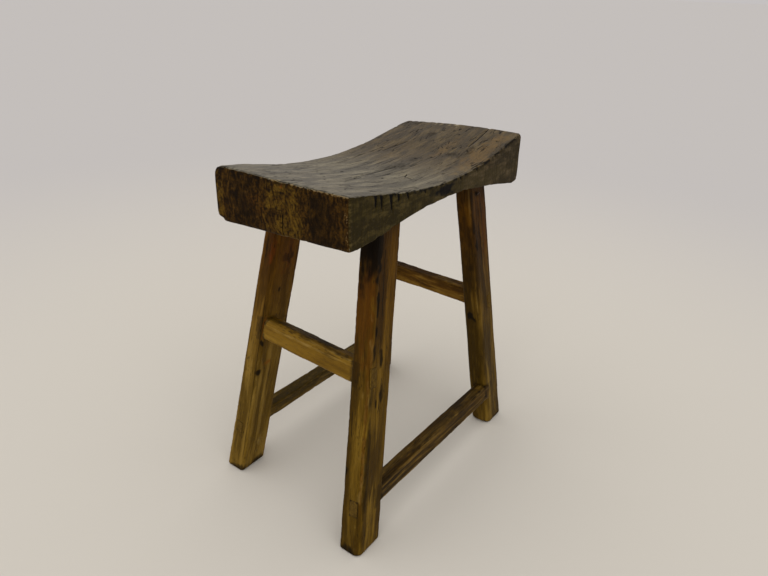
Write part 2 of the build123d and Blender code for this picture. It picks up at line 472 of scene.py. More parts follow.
class Paint:
    """Builds the nodes of one material or of the world."""

    def __init__(self, owner: bpy.types.Material | bpy.types.World) -> None:
        """Start with no nodes.

        Args:
            owner: The material or world that owns them.
        """
        owner.use_nodes = True
        self.owner = owner
        self.tree = owner.node_tree
        self.tree.nodes.clear()

    def add(self, kind: str, settings: dict[str, object], inputs: dict[str | int, object],
            output: str | int = 0) -> Shade:
        """Add a node of any type.

        Args:
            kind: The node's type.
            settings: Its own settings, set first.
            inputs: Values or shades for its sockets.
            output: The socket to return.

        Returns:
            That output socket as a shade.
        """
        node = self.tree.nodes.new(kind)
        for name, value in settings.items():
            setattr(node, name, value)
        for name, value in inputs.items():
            if isinstance(value, Shade):
                self.tree.links.new(value.socket, node.inputs[name])
            else:
                node.inputs[name].default_value = value
        return Shade(self, node.outputs[output] if node.outputs else None)

    def attribute(self, name: str, output: str = "Fac") -> Shade:
        """Read a mesh attribute."""
        settings = {"attribute_type": "GEOMETRY", "attribute_name": name}
        return self.add("ShaderNodeAttribute", settings, {}, output)

    def vector(self, operation: str, first: Shade, second: "Shade | Triple") -> Shade:
        """Add one Vector Math node."""
        return self.add("ShaderNodeVectorMath", {"operation": operation}, {0: first, 1: second})

    def noise(self, place: Shade, figure: Figure, output: str = "Fac") -> Shade:
        """Add noise over space, about a half on average.

        Args:
            place: Where it is read.
            figure: Its scales and layers.
            output: Fac for a number, Color for a colour.

        Returns:
            The noise.
        """
        inputs = {"Vector": self.vector("MULTIPLY", place, figure.scales), "Scale": 1.0,
                  "Detail": figure.detail, "Roughness": figure.rough}
        return self.add("ShaderNodeTexNoise", {"noise_dimensions": "3D"}, inputs, output)

    def cells(self, place: Shade, scales: Triple) -> Shade:
        """Distance to the nearest of many scattered points, in periods."""
        inputs = {"Vector": self.vector("MULTIPLY", place, scales), "Scale": 1.0}
        return self.add("ShaderNodeTexVoronoi", {"feature": "F1"}, inputs, "Distance")

    def bend(self, place: Shade, figure: Figure, amount: float) -> Shade:
        """Move places sideways by smooth noise, so that the grain wanders."""
        sway = self.noise(place, figure, "Color")
        return self.vector("ADD", place, self.vector("MULTIPLY", sway, (0.0, amount, amount)))

    def mix(self, share: "Shade | float", first: "Shade | Colour", second: "Shade | Colour",
            blend: str = "MIX") -> Shade:
        """Mix two colours; share is how much of the second there is."""
        settings = {"data_type": "RGBA", "blend_type": blend, "clamp_factor": True}
        return self.add("ShaderNodeMix", settings, {0: share, 6: first, 7: second}, 2)

    def layers(self, colour: Shade, *coats: "tuple[Shade, Shade | Colour]") -> Shade:
        """Lay coats over a colour.

        Args:
            colour: The first colour.
            coats: The share and the colour of each coat.

        Returns:
            The colour with all of them on.
        """
        for share, coat in coats:
            colour = self.mix(share, colour, coat)
        return colour

    def parts(self, place: Shade) -> tuple[Shade, ...]:
        """The three numbers of a vector."""
        node = self.add("ShaderNodeSeparateXYZ", {}, {"Vector": place}).socket.node
        return tuple(Shade(self, node.outputs[axis]) for axis in "XYZ")

    def stain(self, kind: Stain, low: float, high: float, *swings: Shade) -> Shade:
        """Read the marks of one kind, with edges made ragged by noise.

        Args:
            kind: The kind.
            low: Where it starts to show.
            high: Where it is full.
            swings: What is added to make it ragged.

        Returns:
            Its share, from zero to one.
        """
        share = self.attribute(kind.value)
        for swing in swings:
            share = share + swing
        return share.rise(low, high)

    def split_line(self, ragged: Shade) -> Shade:
        """One on the dark middle of cracks and seams, zero off them."""
        offset = self.attribute("split_off") + ragged.swing(0.9)
        return (1 - abs(offset) / (self.attribute("split") + 0.0001)).rise(0.0, 0.55)

    def surface(self, colour: "Shade | Colour", roughness: "Shade | float", height: "Shade | None",
                others: dict[str | int, object]) -> bpy.types.Material:
        """Connect the surface shader.

        Args:
            colour: Base colour.
            roughness: Roughness.
            height: Relief in metres, or nothing for a smooth surface.
            others: Values of other sockets.

        Returns:
            The finished material.
        """
        inputs = {"Base Color": colour, "Roughness": roughness, **others}
        if height is not None:
            inputs["Normal"] = self.add("ShaderNodeBump", {}, {"Height": height, "Distance": 1.0}, "Normal")
        shader = self.add("ShaderNodeBsdfPrincipled", {}, inputs, "BSDF")
        self.add("ShaderNodeOutputMaterial", {}, {"Surface": shader})
        return self.owner


@dataclass(frozen=True)
class LongGrain:
    """Old wood seen along its grain.

    The tones are dark, middle and light, and honey, pale, darkening and split are the colours of warm
    patches, rubbed wood with painted sheen on its edges, dirt with painted shade, and cracks. The far
    end's colour is multiplied by deep, over deep_reach: on the legs this darkens their heads, partly
    the wood's tone and partly painted shade under the seat, and on the seat's top it browns the far
    half beside a near half left grey as a painted sheen, the reflection of the pale room.
    Gloss is the wood's own, polish and sheen_roughness are those of the sheen that sitting has given
    it. Stretch and figure are periods of its figure per metre, along and across the grain. Streaks,
    mottling, flecks, fissures and saw_marks are strengths, fissure_width is in the noise's own
    measure, and pattern moves the figure, so that no two timbers are alike.
    """

    name: str
    tones: tuple[Colour, ...]
    honey: Colour
    pale: Colour
    darkening: Colour = tint(14, 9, 4)
    deep: Colour = (1.0, 1.0, 1.0, 1.0)
    deep_reach: Pair = (0.0, 1.0)
    split: Colour = tint(7, 5, 3)
    roughness: float = 0.55
    gloss: float = 0.06
    polish: float = 0.0
    sheen_roughness: float = 0.4
    stretch: float = 9.0
    figure: float = 80.0
    streaks: float = 1.0
    mottling: float = 0.8
    flecks: float = 0.7
    fissures: float = 0.4
    fissure_width: float = 0.018
    saw_marks: float = 0.0
    pattern: float = 0.0

    SWAY = Figure((5.0, 18.0, 18.0), 2.0)
    BROAD = Figure((6.0, 34.0, 34.0), 4.0)
    FINE = Figure((26.0, 600.0, 600.0), 3.0, 0.6)
    SAW = Figure((340.0, 9.0, 14.0), 2.0)
    FLECKED = Figure((24.0, 60.0, 60.0), 2.0)
    FISSURE = Figure((6.0, 150.0, 150.0), 1.5, 0.4)
    FISSURED = Figure((30.0, 90.0, 90.0), 2.0)
    FLECKS = (90.0, 330.0, 330.0)
    PORES = (130.0, 950.0, 950.0)

    def dark_specks(self, paint: Paint, grain: Shade, bent: Shade) -> Shade:
        """Make flecks, pores and drying cracks.

        Args:
            paint: The paint to use.
            grain: Places in the wood.
            bent: The same, along the wandering grain.

        Returns:
            Their share, from zero to one.
        """
        pore_strength = 0.15 + 0.3 * self.streaks
        flecked = paint.noise(grain, self.FLECKED).rise(0.5, 0.64)
        fleck = paint.cells(bent, self.FLECKS).fall(0.12, 0.34) * flecked
        pores = paint.cells(bent, self.PORES).fall(0.1, 0.4)
        fissure = abs(paint.noise(bent, self.FISSURE) - 0.5).fall(self.fissure_width / 5, self.fissure_width)
        fissure = fissure * paint.noise(grain, self.FISSURED).rise(0.47, 0.58)
        return (fleck * self.flecks).larger(fissure * self.fissures).larger(pores * pore_strength)

    def material(self) -> bpy.types.Material:
        """Build the material: the wood's own colour, then wear with painted sheen, dirt with painted shade,
        and cracks over it.

        Returns:
            The material.
        """
        paint = Paint(bpy.data.materials.new(self.name))
        dark, middle, light = self.tones
        blotch_figure = Figure((self.stretch * 1.4, self.figure, self.figure), 4.0, 0.62)
        streak_figure = Figure((self.stretch, 210.0, 210.0), 4.0, 0.6)
        mottle_figure = Figure((self.stretch * 7, 210.0, 210.0), 4.0, 0.65)
        grain = paint.vector("ADD", paint.attribute("grain", "Vector"), (self.pattern,) * 3)
        bent = paint.bend(grain, self.SWAY, 0.016)
        broad = paint.noise(grain, self.BROAD)
        blotch = paint.noise(bent, blotch_figure)
        streak = paint.noise(bent, streak_figure)
        fine = paint.noise(bent, self.FINE)
        mottle = paint.noise(grain, mottle_figure)
        saw = paint.noise(grain, self.SAW)

        colour = paint.layers(
            paint.mix((broad * 0.5 + blotch * 0.5).rise(0.43, 0.56), dark, middle),
            ((streak * 0.3 + blotch * 0.7).rise(0.48, 0.62), light),
            (paint.stain(Stain.HONEY, 0.15, 0.95, blotch.swing(0.9)) * 0.8, self.honey),
            (streak.fall(0.34, 0.48) * (0.45 * self.streaks), dark),
            (mottle.fall(0.34, 0.5) * (0.6 * self.mottling), dark),
            (mottle.rise(0.53, 0.66) * (0.45 * self.mottling), light),
            (fine.fall(0.38, 0.5) * (0.22 + 0.3 * self.streaks), dark))
        # deep darkens the far end: on the legs their heads, partly as painted shade under the seat; on the
        # seat's top its far half, beside the near half's painted sheen.
        reach = (paint.parts(grain)[0] - self.pattern).rise(*self.deep_reach)
        colour = paint.mix(reach, colour, self.deep, "MULTIPLY")

        # Light edges and marks: wear, painted sheen on rounded edges and painted highlights.
        worn = paint.stain(Stain.WORN_AND_SHEEN, 0.2, 1.0, fine.swing(0.5), mottle.swing(0.8))
        pale = paint.stain(Stain.PALE, 0.3, 0.9, mottle.swing(0.9))
        # Dark marks: dirt, and painted shade under the seat and where parts meet.
        dirt_and_shade = paint.stain(Stain.DARK, 0.2, 0.9, blotch.swing(0.6), mottle.swing(0.9))
        specks = self.dark_specks(paint, grain, bent)
        line = paint.split_line(mottle)
        colour = paint.layers(
            colour,
            (worn.larger(pale) * 0.75, self.pale),
            (saw.fall(0.4, 0.52) * (0.55 * self.saw_marks), dark),
            (specks * 0.9, self.darkening),
            (dirt_and_shade * 0.92, self.darkening),
            (line, self.split))

        rough = self.roughness + broad.swing(0.25) + mottle.swing(0.2) + dirt_and_shade * 0.1 - worn * 0.08
        height = fine.swing(0.0002 * self.streaks) + streak.swing(0.0006) + mottle.swing(0.0008)
        height = height - specks * 0.0004 - line * 0.0012 + saw.swing(0.0006 * self.saw_marks)
        others = {"Specular IOR Level": self.gloss}
        if self.polish:
            others["Coat Weight"] = (1 - specks.larger(line).larger(dirt_and_shade)).clip() * self.polish
            others["Coat Roughness"] = self.sheen_roughness
        return paint.surface(colour, rough.clip(), height, others)


@dataclass(frozen=True)
class EndGrain:
    """Old wood seen across its grain, with its growth rings.

    The tones are dark, middle and ochre. The pith is the rings' centre, across and through, rings is
    how many there are per metre, and sway is how far the grain wanders.
    """

    name: str
    tones: tuple[Colour, ...]
    warm: Colour
    pale: Colour = tint(128, 106, 70)
    darkening: Colour = tint(18, 10, 3)
    split: Colour = tint(6, 4, 2)
    pith: Pair = (0.0, 0.0)
    rings: float = 150.0
    sway: float = 0.03
    roughness: float = 0.68
    gloss: float = 0.05

    SWAY = Figure((20.0, 22.0, 22.0), 2.0)
    BLOTCH = Figure((60.0, 46.0, 46.0), 4.0, 0.6)
    RAYS = Figure((60.0, 260.0, 50.0), 4.0, 0.6)
    GRIT = Figure((420.0, 300.0, 300.0), 4.0, 0.7)
    CLOTS = Figure((150.0, 120.0, 120.0), 4.0, 0.65)
    PORES = (520.0, 520.0, 520.0)

    def material(self) -> bpy.types.Material:
        """Build the material: rings, rays and ochre zones, then dirt, rubbed beads and cracks.

        Returns:
            The material.
        """
        paint = Paint(bpy.data.materials.new(self.name))
        dark, middle, ochre = self.tones
        grain = paint.attribute("grain", "Vector")
        bent = paint.bend(grain, self.SWAY, self.sway)
        across, through = paint.parts(bent)[1:]
        side = across - (self.pith[0] + self.sway / 2)
        rise = through - (self.pith[1] + self.sway / 2)
        ring = ((side * side + rise * rise).root() * (self.rings * math.tau)).sine() * 0.5 + 0.5
        blotch = paint.noise(grain, self.BLOTCH)
        rays = paint.noise(bent, self.RAYS)
        grit = paint.noise(grain, self.GRIT)
        clots = paint.noise(grain, self.CLOTS)
        pores = paint.cells(grain, self.PORES).fall(0.15, 0.42)
        line = paint.split_line(grit)

        zone = paint.stain(Stain.PALE, 0.25, 0.9, blotch.swing(1.8), rays.swing(0.5))
        ochre_share = (ring * 0.12 + rays * 0.35 + blotch * 0.4 + clots * 0.25).rise(0.44, 0.7)
        colour = paint.layers(
            paint.mix((clots * 0.35 + rays * 0.35 + grit * 0.3).rise(0.42, 0.58), dark, middle),
            (zone * ochre_share, ochre),
            (ring.rise(0.2, 1.0) * 0.3, dark),
            (rays.fall(0.36, 0.48) * 0.4, dark),
            (grit.fall(0.38, 0.5) * 0.6, dark),
            (paint.stain(Stain.HONEY, 0.3, 0.9, grit.swing(0.8)) * 0.8, self.warm),
            (pores * 0.45, dark),
            (paint.stain(Stain.DARK, 0.25, 0.95, grit.swing(1.2), blotch.swing(1.2)) * 0.85, self.darkening),
            (paint.stain(Stain.WORN_AND_SHEEN, 0.6, 0.95, grit.swing(3.0), clots.swing(1.0)) * 0.8, self.pale),
            (line, self.split))

        rough = self.roughness + grit.swing(0.3)
        height = grit.swing(0.0012) + blotch.swing(0.0012) - pores * 0.0004 - line * 0.0014
        return paint.surface(colour, rough.clip(), height, {"Specular IOR Level": self.gloss})


@dataclass(frozen=True)
class OldIron:
    """Dark, rusty wrought iron."""

    name: str = "old_iron"
    clean: Colour = tint(34, 31, 30)
    rusty: Colour = tint(84, 58, 42)
    rust: Figure = Figure((900.0, 900.0, 900.0), 4.0, 0.65)
    metallic: float = 0.75

    def material(self) -> bpy.types.Material:
        """Build the material.

        Returns:
            The material.
        """
        paint = Paint(bpy.data.materials.new(self.name))
        place = paint.add("ShaderNodeTexCoord", {}, {}, "Object")
        rust = paint.noise(place, self.rust)
        colour = paint.mix(rust.rise(0.4, 0.65), self.clean, self.rusty)
        return paint.surface(colour, 0.38 + rust * 0.35, rust.swing(0.0004), {"Metallic": self.metallic})


@dataclass(frozen=True)
class StoolPlan:
    """Driving sizes of the stool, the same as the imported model's, and what wear has made of it.

    A pair says where a rise or sag starts and where it is full.
    """

    seat_length: float = 0.430
    seat_width: float = 0.218
    seat_height: float = 0.500
    end_thickness: float = 0.0695
    waist_thickness: float = 0.022
    saddle_dip: float = 0.026
    saddle_arc_share: float = 0.55
    arch_landing: float = 0.018
    seat_lean: float = math.radians(1.4)
    lower_round: float = 0.008
    far_right_rise: float = 0.0055
    far_crown: float = 0.0035
    far_rise_start: float = 0.86
    far_rise_power: float = 1.15
    near_left_rise: float = 0.0020
    near_left_sag: float = 0.0035
    near_right_lift: float = 0.0025
    far_right_sag: float = 0.0025
    far_sag_end: float = 0.185
    near_left_start: Pair = (0.10, 0.2)
    near_left_side: Pair = (-0.02, 0.1)
    near_sag_start: Pair = (0.150, 0.205)
    far_sag_start: Pair = (0.03, 0.10)
    far_sag_side: Pair = (0.03, -0.09)
    head_inset: float = 0.104
    head_inset_across: float = 0.0315
    head_length: float = 0.0524
    head_width: float = 0.0248
    foot_length: float = 0.0485
    foot_width: float = 0.0333
    splay_near_left: float = 0.0705
    splay_near_right: float = 0.0915
    splay_far_right: float = 0.0665
    splay_far_left: float = 0.072
    splay_across: float = 0.048
    rail_inset: float = 0.001

    @property
    def half_length(self) -> float:
        """Half of the seat's length."""
        return self.seat_length / 2

    @property
    def half_width(self) -> float:
        """Half of the seat's width."""
        return self.seat_width / 2

    @property
    def landing_height(self) -> float:
        """Height of the seat's flat landings over the floor."""
        return self.seat_height - self.end_thickness

    @property
    def saddle_floor(self) -> float:
        """Lowest place of the seat's top, over its landings."""
        return self.end_thickness - self.saddle_dip

    @property
    def arc_half(self) -> float:
        """Half of the length of the saddle's round middle."""
        return self.half_length * self.saddle_arc_share

    @property
    def arch_rise(self) -> float:
        """Rise of the arch under the seat."""
        return self.saddle_floor - self.waist_thickness

    @property
    def arch_crown(self) -> float:
        """Height of the arch's crown over the floor."""
        return self.landing_height + self.arch_rise

    @property
    def head_reach(self) -> float:
        """How far the legs' heads are from the seat's middle, along it."""
        return self.half_length - self.head_inset

    @property
    def head_spread(self) -> float:
        """How far they are from it, across it."""
        return self.half_width - self.head_inset_across

    @property
    def seat_middle(self) -> float:
        """Where the seat's middle lies along the stool, whose overall middle is at zero.

        Returns:
            Its place along the row frame.
        """
        foot = self.head_reach + self.foot_length / 2
        near = foot + max(self.splay_near_left, self.splay_near_right)
        far = foot + max(self.splay_far_left, self.splay_far_right)
        return (max(near, self.half_length) - max(far, self.half_length)) / 2

    def saddle_top(self, reach: Array) -> Array:
        """Work out the seat's even top, a round middle with straight slopes.

        Args:
            reach: Distances from the seat's middle.

        Returns:
            Heights over the landings.
        """
        arc_rise = self.saddle_dip * self.arc_half / (self.seat_length - self.arc_half)
        radius = (self.arc_half**2 + arc_rise**2) / (2 * arc_rise)
        distance = np.abs(reach)
        bowl = radius - np.sqrt(radius**2 - np.minimum(distance, self.arc_half) ** 2)
        slope = (self.saddle_dip - arc_rise) / (self.half_length - self.arc_half)
        return self.saddle_floor + bowl + np.maximum(distance - self.arc_half, 0.0) * slope

    def top_warp(self, reach: Array, across: Array) -> Array:
        """Work out how much higher the top is at its far right, far middle and near left.

        Args:
            reach: Places along the seat, from its middle.
            across: Places across it.

        Returns:
            Heights over its even form.
        """
        right = 0.5 - across / self.seat_width
        start = self.arc_half * self.far_rise_start
        far = np.clip((reach - start) / (self.half_length - start), 0, None) ** self.far_rise_power
        crown = 1 - (across / self.half_width) ** 2
        near_left = smooth(*self.near_left_start, -reach) * smooth(*self.near_left_side, across)
        far_side = far * (self.far_right_rise * right + self.far_crown * crown)
        return far_side + self.near_left_rise * near_left

    def bottom_warp(self, reach: Array, across: Array) -> Array:
        """Work out how much higher or lower the underside is at its near end and far right.

        Args:
            reach: Places along the seat, from its middle.
            across: Places across it.

        Returns:
            Heights over its even form.
        """
        near = smooth(*self.near_sag_start, -reach)
        side = np.clip(across / self.half_width, -1.0, 1.0)
        middle = (self.near_right_lift - self.near_left_sag) / 2
        swing = (self.near_right_lift + self.near_left_sag) / 2
        far = smooth(*self.far_sag_start, reach) * smooth(self.half_length, self.far_sag_end, reach)
        far = far * smooth(*self.far_sag_side, across)
        return near * (middle - swing * side) - self.far_right_sag * far

    def arch(self, reach: Array) -> Array:
        """Work out the seat's even underside, an arch between two landings.

        Args:
            reach: Distances from the seat's middle.

        Returns:
            Heights over the landings.
        """
        arch_half = self.half_length - self.arch_landing
        radius = (arch_half**2 + self.arch_rise**2) / (2 * self.arch_rise)
        inside = np.minimum(np.abs(reach), arch_half)
        return self.arch_rise - radius + np.sqrt(radius**2 - inside**2)

    def underside(self, along: Array, across: Array) -> Array:
        """Work out the height of the seat's underside over the floor.

        Args:
            along: Places along the row frame.
            across: Places across it.

        Returns:
            Heights.
        """
        reach = along - self.seat_middle
        level = self.landing_height + self.arch(reach) + self.bottom_warp(reach, across)
        return level - across * math.tan(self.seat_lean)


PLAN = StoolPlan()


@dataclass
class Timber:
    """A block of wood: a box lattice bent to its form, with wear, marks and cracks.

    Attributes:
        node: The model's node that it stands for.
        seed: Picks its wear.
        finish: Its wood along the grain.
        slot: A slot name; not used.
        marks: Its stains and rubbed places, and a few painted shadows and highlights.
        cracks: Its cracks.
        step: Spacing of the lattice.
        end_steps: How far from its ends the lattice is finer, and in how many steps.
        edge_steps: The same from its long edges.
        dents: Depth of its slow unevenness.
        dent_mix: How much of that is even, wavy and rippled.
        chips: Depth of the chips in its edges.
        chip_reach: How far from an edge they go.
        chip_share: Where in its noise a chip starts and is full.
        edge_wander: How much the radius of its long edges varies.
        rub_and_sheen: How strongly its edges are made light, partly as wear and partly as painted sheen.
        rub_and_sheen_reach: How far from an edge that ends and is full.
        rub_and_sheen_share: Where in its noise it starts and is full.
        crack_reach: How far a crack is drawn, how far it fades out, and how squarely its side looks.
    """

    node: str
    seed: int
    finish: LongGrain
    slot: str
    marks: tuple[Mark, ...] = ()
    cracks: tuple[Crack, ...] = ()
    step: float = 0.0022
    end_steps: tuple[float, int] = (0.008, 7)
    edge_steps: tuple[float, int] = (0.006, 6)
    dents: float = 0.00025
    dent_mix: Triple = (0.45, 0.4, 0.18)
    chips: float = 0.0004
    chip_reach: float = 0.006
    chip_share: Pair = (0.15, 0.75)
    edge_wander: float = 0.2
    rub_and_sheen: float = 0.45
    rub_and_sheen_reach: Pair = (0.0055, 0.001)
    rub_and_sheen_share: Pair = (-0.3, 0.7)
    crack_reach: Triple = (0.006, 0.004, 0.45)

    def size(self) -> Triple:
        """Rough length, width and thickness, which set how many lines the lattice has."""
        raise NotImplementedError

    def outline(self, share: Array) -> Outline:
        """Cross-section at these shares of the length."""
        raise NotImplementedError

    def lengthwise(self, share: Array, across: Array, through: Array) -> Array:
        """Places along the timber's own first axis."""
        raise NotImplementedError

    def place(self, own: Array) -> Array:
        """Put points of the timber's own axes into the row frame."""
        raise NotImplementedError

    def warp(self, share: Array, across: Array, height: Array) -> Array:
        """What is added through the thickness, height being zero below and one on top."""
        return np.zeros(len(share))

    def extra_lines(self) -> Array:
        """Shares of the length that get more lines."""
        return np.array([])

    def wander(self, share: Array) -> Array:
        """How the radius of the long edges wanders along the timber, one on average."""
        places = np.stack([share * self.size()[0], share * 0, share * 0], axis=1)
        return 1 + self.edge_wander * Wear.EDGES.at(places, self.seed)

    def skin(self) -> Skin:
        """Make the timber's skin, before wear.

        Returns:
            The skin.
        """
        length, width, thickness = self.size()
        along = np.concatenate([graded(length, self.step, *self.end_steps, 2.0), self.extra_lines()])
        sides = [graded(size, self.step, *self.edge_steps, 1.0) for size in (width, thickness)]
        shares, faces = box_lattice([np.unique(along.round(6)), *sides])
        share = shares[:, 0]
        form = self.outline(share)
        across, through, edge = form.lay(shares[:, 1:])
        height = (through - form.through[0]) / (form.through[1] - form.through[0])
        through = through + self.warp(share, across, height)
        own = np.stack([self.lengthwise(share, across, through), across, through], axis=1)
        return Skin(self.place(own), own, edge, np.minimum(share, 1 - share) * length, faces)

    def depth(self, skin: Skin) -> Array:
        """Work out how deep wear has taken the surface in.

        Args:
            skin: The timber's skin.

        Returns:
            Depths, none under zero.
        """
        waves = Wear.WAVES.at(skin.own, self.seed)
        ripples = Wear.RIPPLES.at(skin.own, self.seed)
        even, wavy, rippled = self.dent_mix
        chips = smooth(*self.chip_share, Wear.CHIPS.at(skin.own, self.seed))
        chips = self.chips * chips * smooth(self.chip_reach, 0.0, skin.edge)
        return np.maximum(self.dents * (even + wavy * waves + rippled * ripples) + chips, 0.0)

    def darkening(self, skin: Skin) -> Array:
        """Dirt that gathers on the timber, with painted shade on legs and rails, from zero to one."""
        return np.zeros(len(skin.points))

    def rubbed_and_sheen(self, skin: Skin) -> Array:
        """Where the edges are light: rubbed by hands and feet, and painted sheen on them."""
        patches = smooth(*self.rub_and_sheen_share, Wear.RUBBING.at(skin.own, self.seed))
        return self.rub_and_sheen * patches * smooth(*self.rub_and_sheen_reach, skin.edge)

    def seams(self, points: Array) -> tuple[Array, Array]:
        """Joint lines on the surface: signed distance from the line, and its half width or zero."""
        return np.ones(len(points)), np.zeros(len(points))

    def stain_fields(self, skin: Skin) -> dict[str, Array]:
        """Work out the marks at each point.

        Args:
            skin: The timber's skin.

        Returns:
            One array per kind of stain.
        """
        fields = {kind.value: np.zeros(len(skin.points)) for kind in Stain}
        fields[Stain.WORN_AND_SHEEN.value] = self.rubbed_and_sheen(skin)
        fields[Stain.DARK.value] = self.darkening(skin)
        rough = Wear.MARKS.at(skin.own, self.seed)
        for mark in self.marks:
            away = np.linalg.norm((skin.own - np.array(mark.at)) / np.array(mark.reach), axis=1)
            share = mark.strength * smooth(*MARK_EDGE, away + rough * mark.ragged)
            fields[mark.kind.value] = np.maximum(fields[mark.kind.value], share)
        return fields

    def split_fields(self, skin: Skin, facing: Array) -> dict[str, Array]:
        """Work out the cracks and seams at each point.

        Args:
            skin: The timber's skin.
            facing: The surface's own direction in the timber's axes.

        Returns:
            The signed distance from the nearest line and its half width, both in millimetres,
            and how deep the surface is sunk.
        """
        offset, width = self.seams(skin.points)
        sunk = np.zeros(len(offset))
        drawn, fade, squareness = self.crack_reach
        for crack in self.cracks:
            axis, way = crack.side.value
            side, past = line_offset(np.delete(skin.own, axis, axis=1), crack.points)
            away = np.hypot(side, past)
            near = (facing[:, axis] * way > squareness) & (away < np.minimum(np.abs(offset), drawn))
            offset = np.where(near, side, offset)
            width = np.where(near, crack.width / 2 * smooth(fade, 0.0, past), width)
            sunk = np.maximum(sunk, near * crack.depth * smooth(fade, 0.0, away))
        return {"split_off": offset * 1000, "split": width * 1000, "sunk": sunk}

    def finishes(self) -> list[bpy.types.Material]:
        """Materials of the timber, by slot."""
        return [self.finish.material()]

    def face_slots(self, look: Array) -> Array:
        """Material slot of each face, by the way it looks in the timber's axes."""
        return np.zeros(len(look), int)

    def build(self) -> bpy.types.Object:
        """Build the timber's mesh, dress it and set it on the model.

        Returns:
            The new object.
        """
        skin = self.skin()
        facing = point_normals(skin.own, skin.faces)
        fields = self.split_fields(skin, facing)
        depth = self.depth(skin) + fields.pop("sunk")
        worn = skin.points - point_normals(skin.points, skin.faces) * depth[:, None]
        skin.points = np.clip(worn, *(np.array(corner) for corner in MODEL_BOX))
        fields.update(self.stain_fields(skin))

        name = f"worn_{self.node}"
        mesh = bpy.data.meshes.new(name)
        mesh.from_pydata(skin.points.tolist(), [], skin.faces.tolist())
        mesh.polygons.foreach_set("use_smooth", np.ones(len(skin.faces), bool))
        grain = mesh.attributes.new("grain", "FLOAT_VECTOR", "POINT")
        grain.data.foreach_set("vector", skin.own.astype(np.float32).ravel())
        for field_name, values in fields.items():
            attribute = mesh.attributes.new(field_name, "FLOAT", "POINT")
            attribute.data.foreach_set("value", values.astype(np.float32))
        for material in self.finishes():
            mesh.materials.append(material)
        slots = self.face_slots(facing[skin.faces].mean(axis=1))
        mesh.polygons.foreach_set("material_index", slots.astype(np.int32))
        mesh.update()

        piece = bpy.data.objects.new(name, mesh)
        bpy.context.scene.collection.objects.link(piece)
        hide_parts(self.node)
        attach(piece, BODY)
        LOG.info("%s: %d faces", name, len(skin.faces))
        return piece


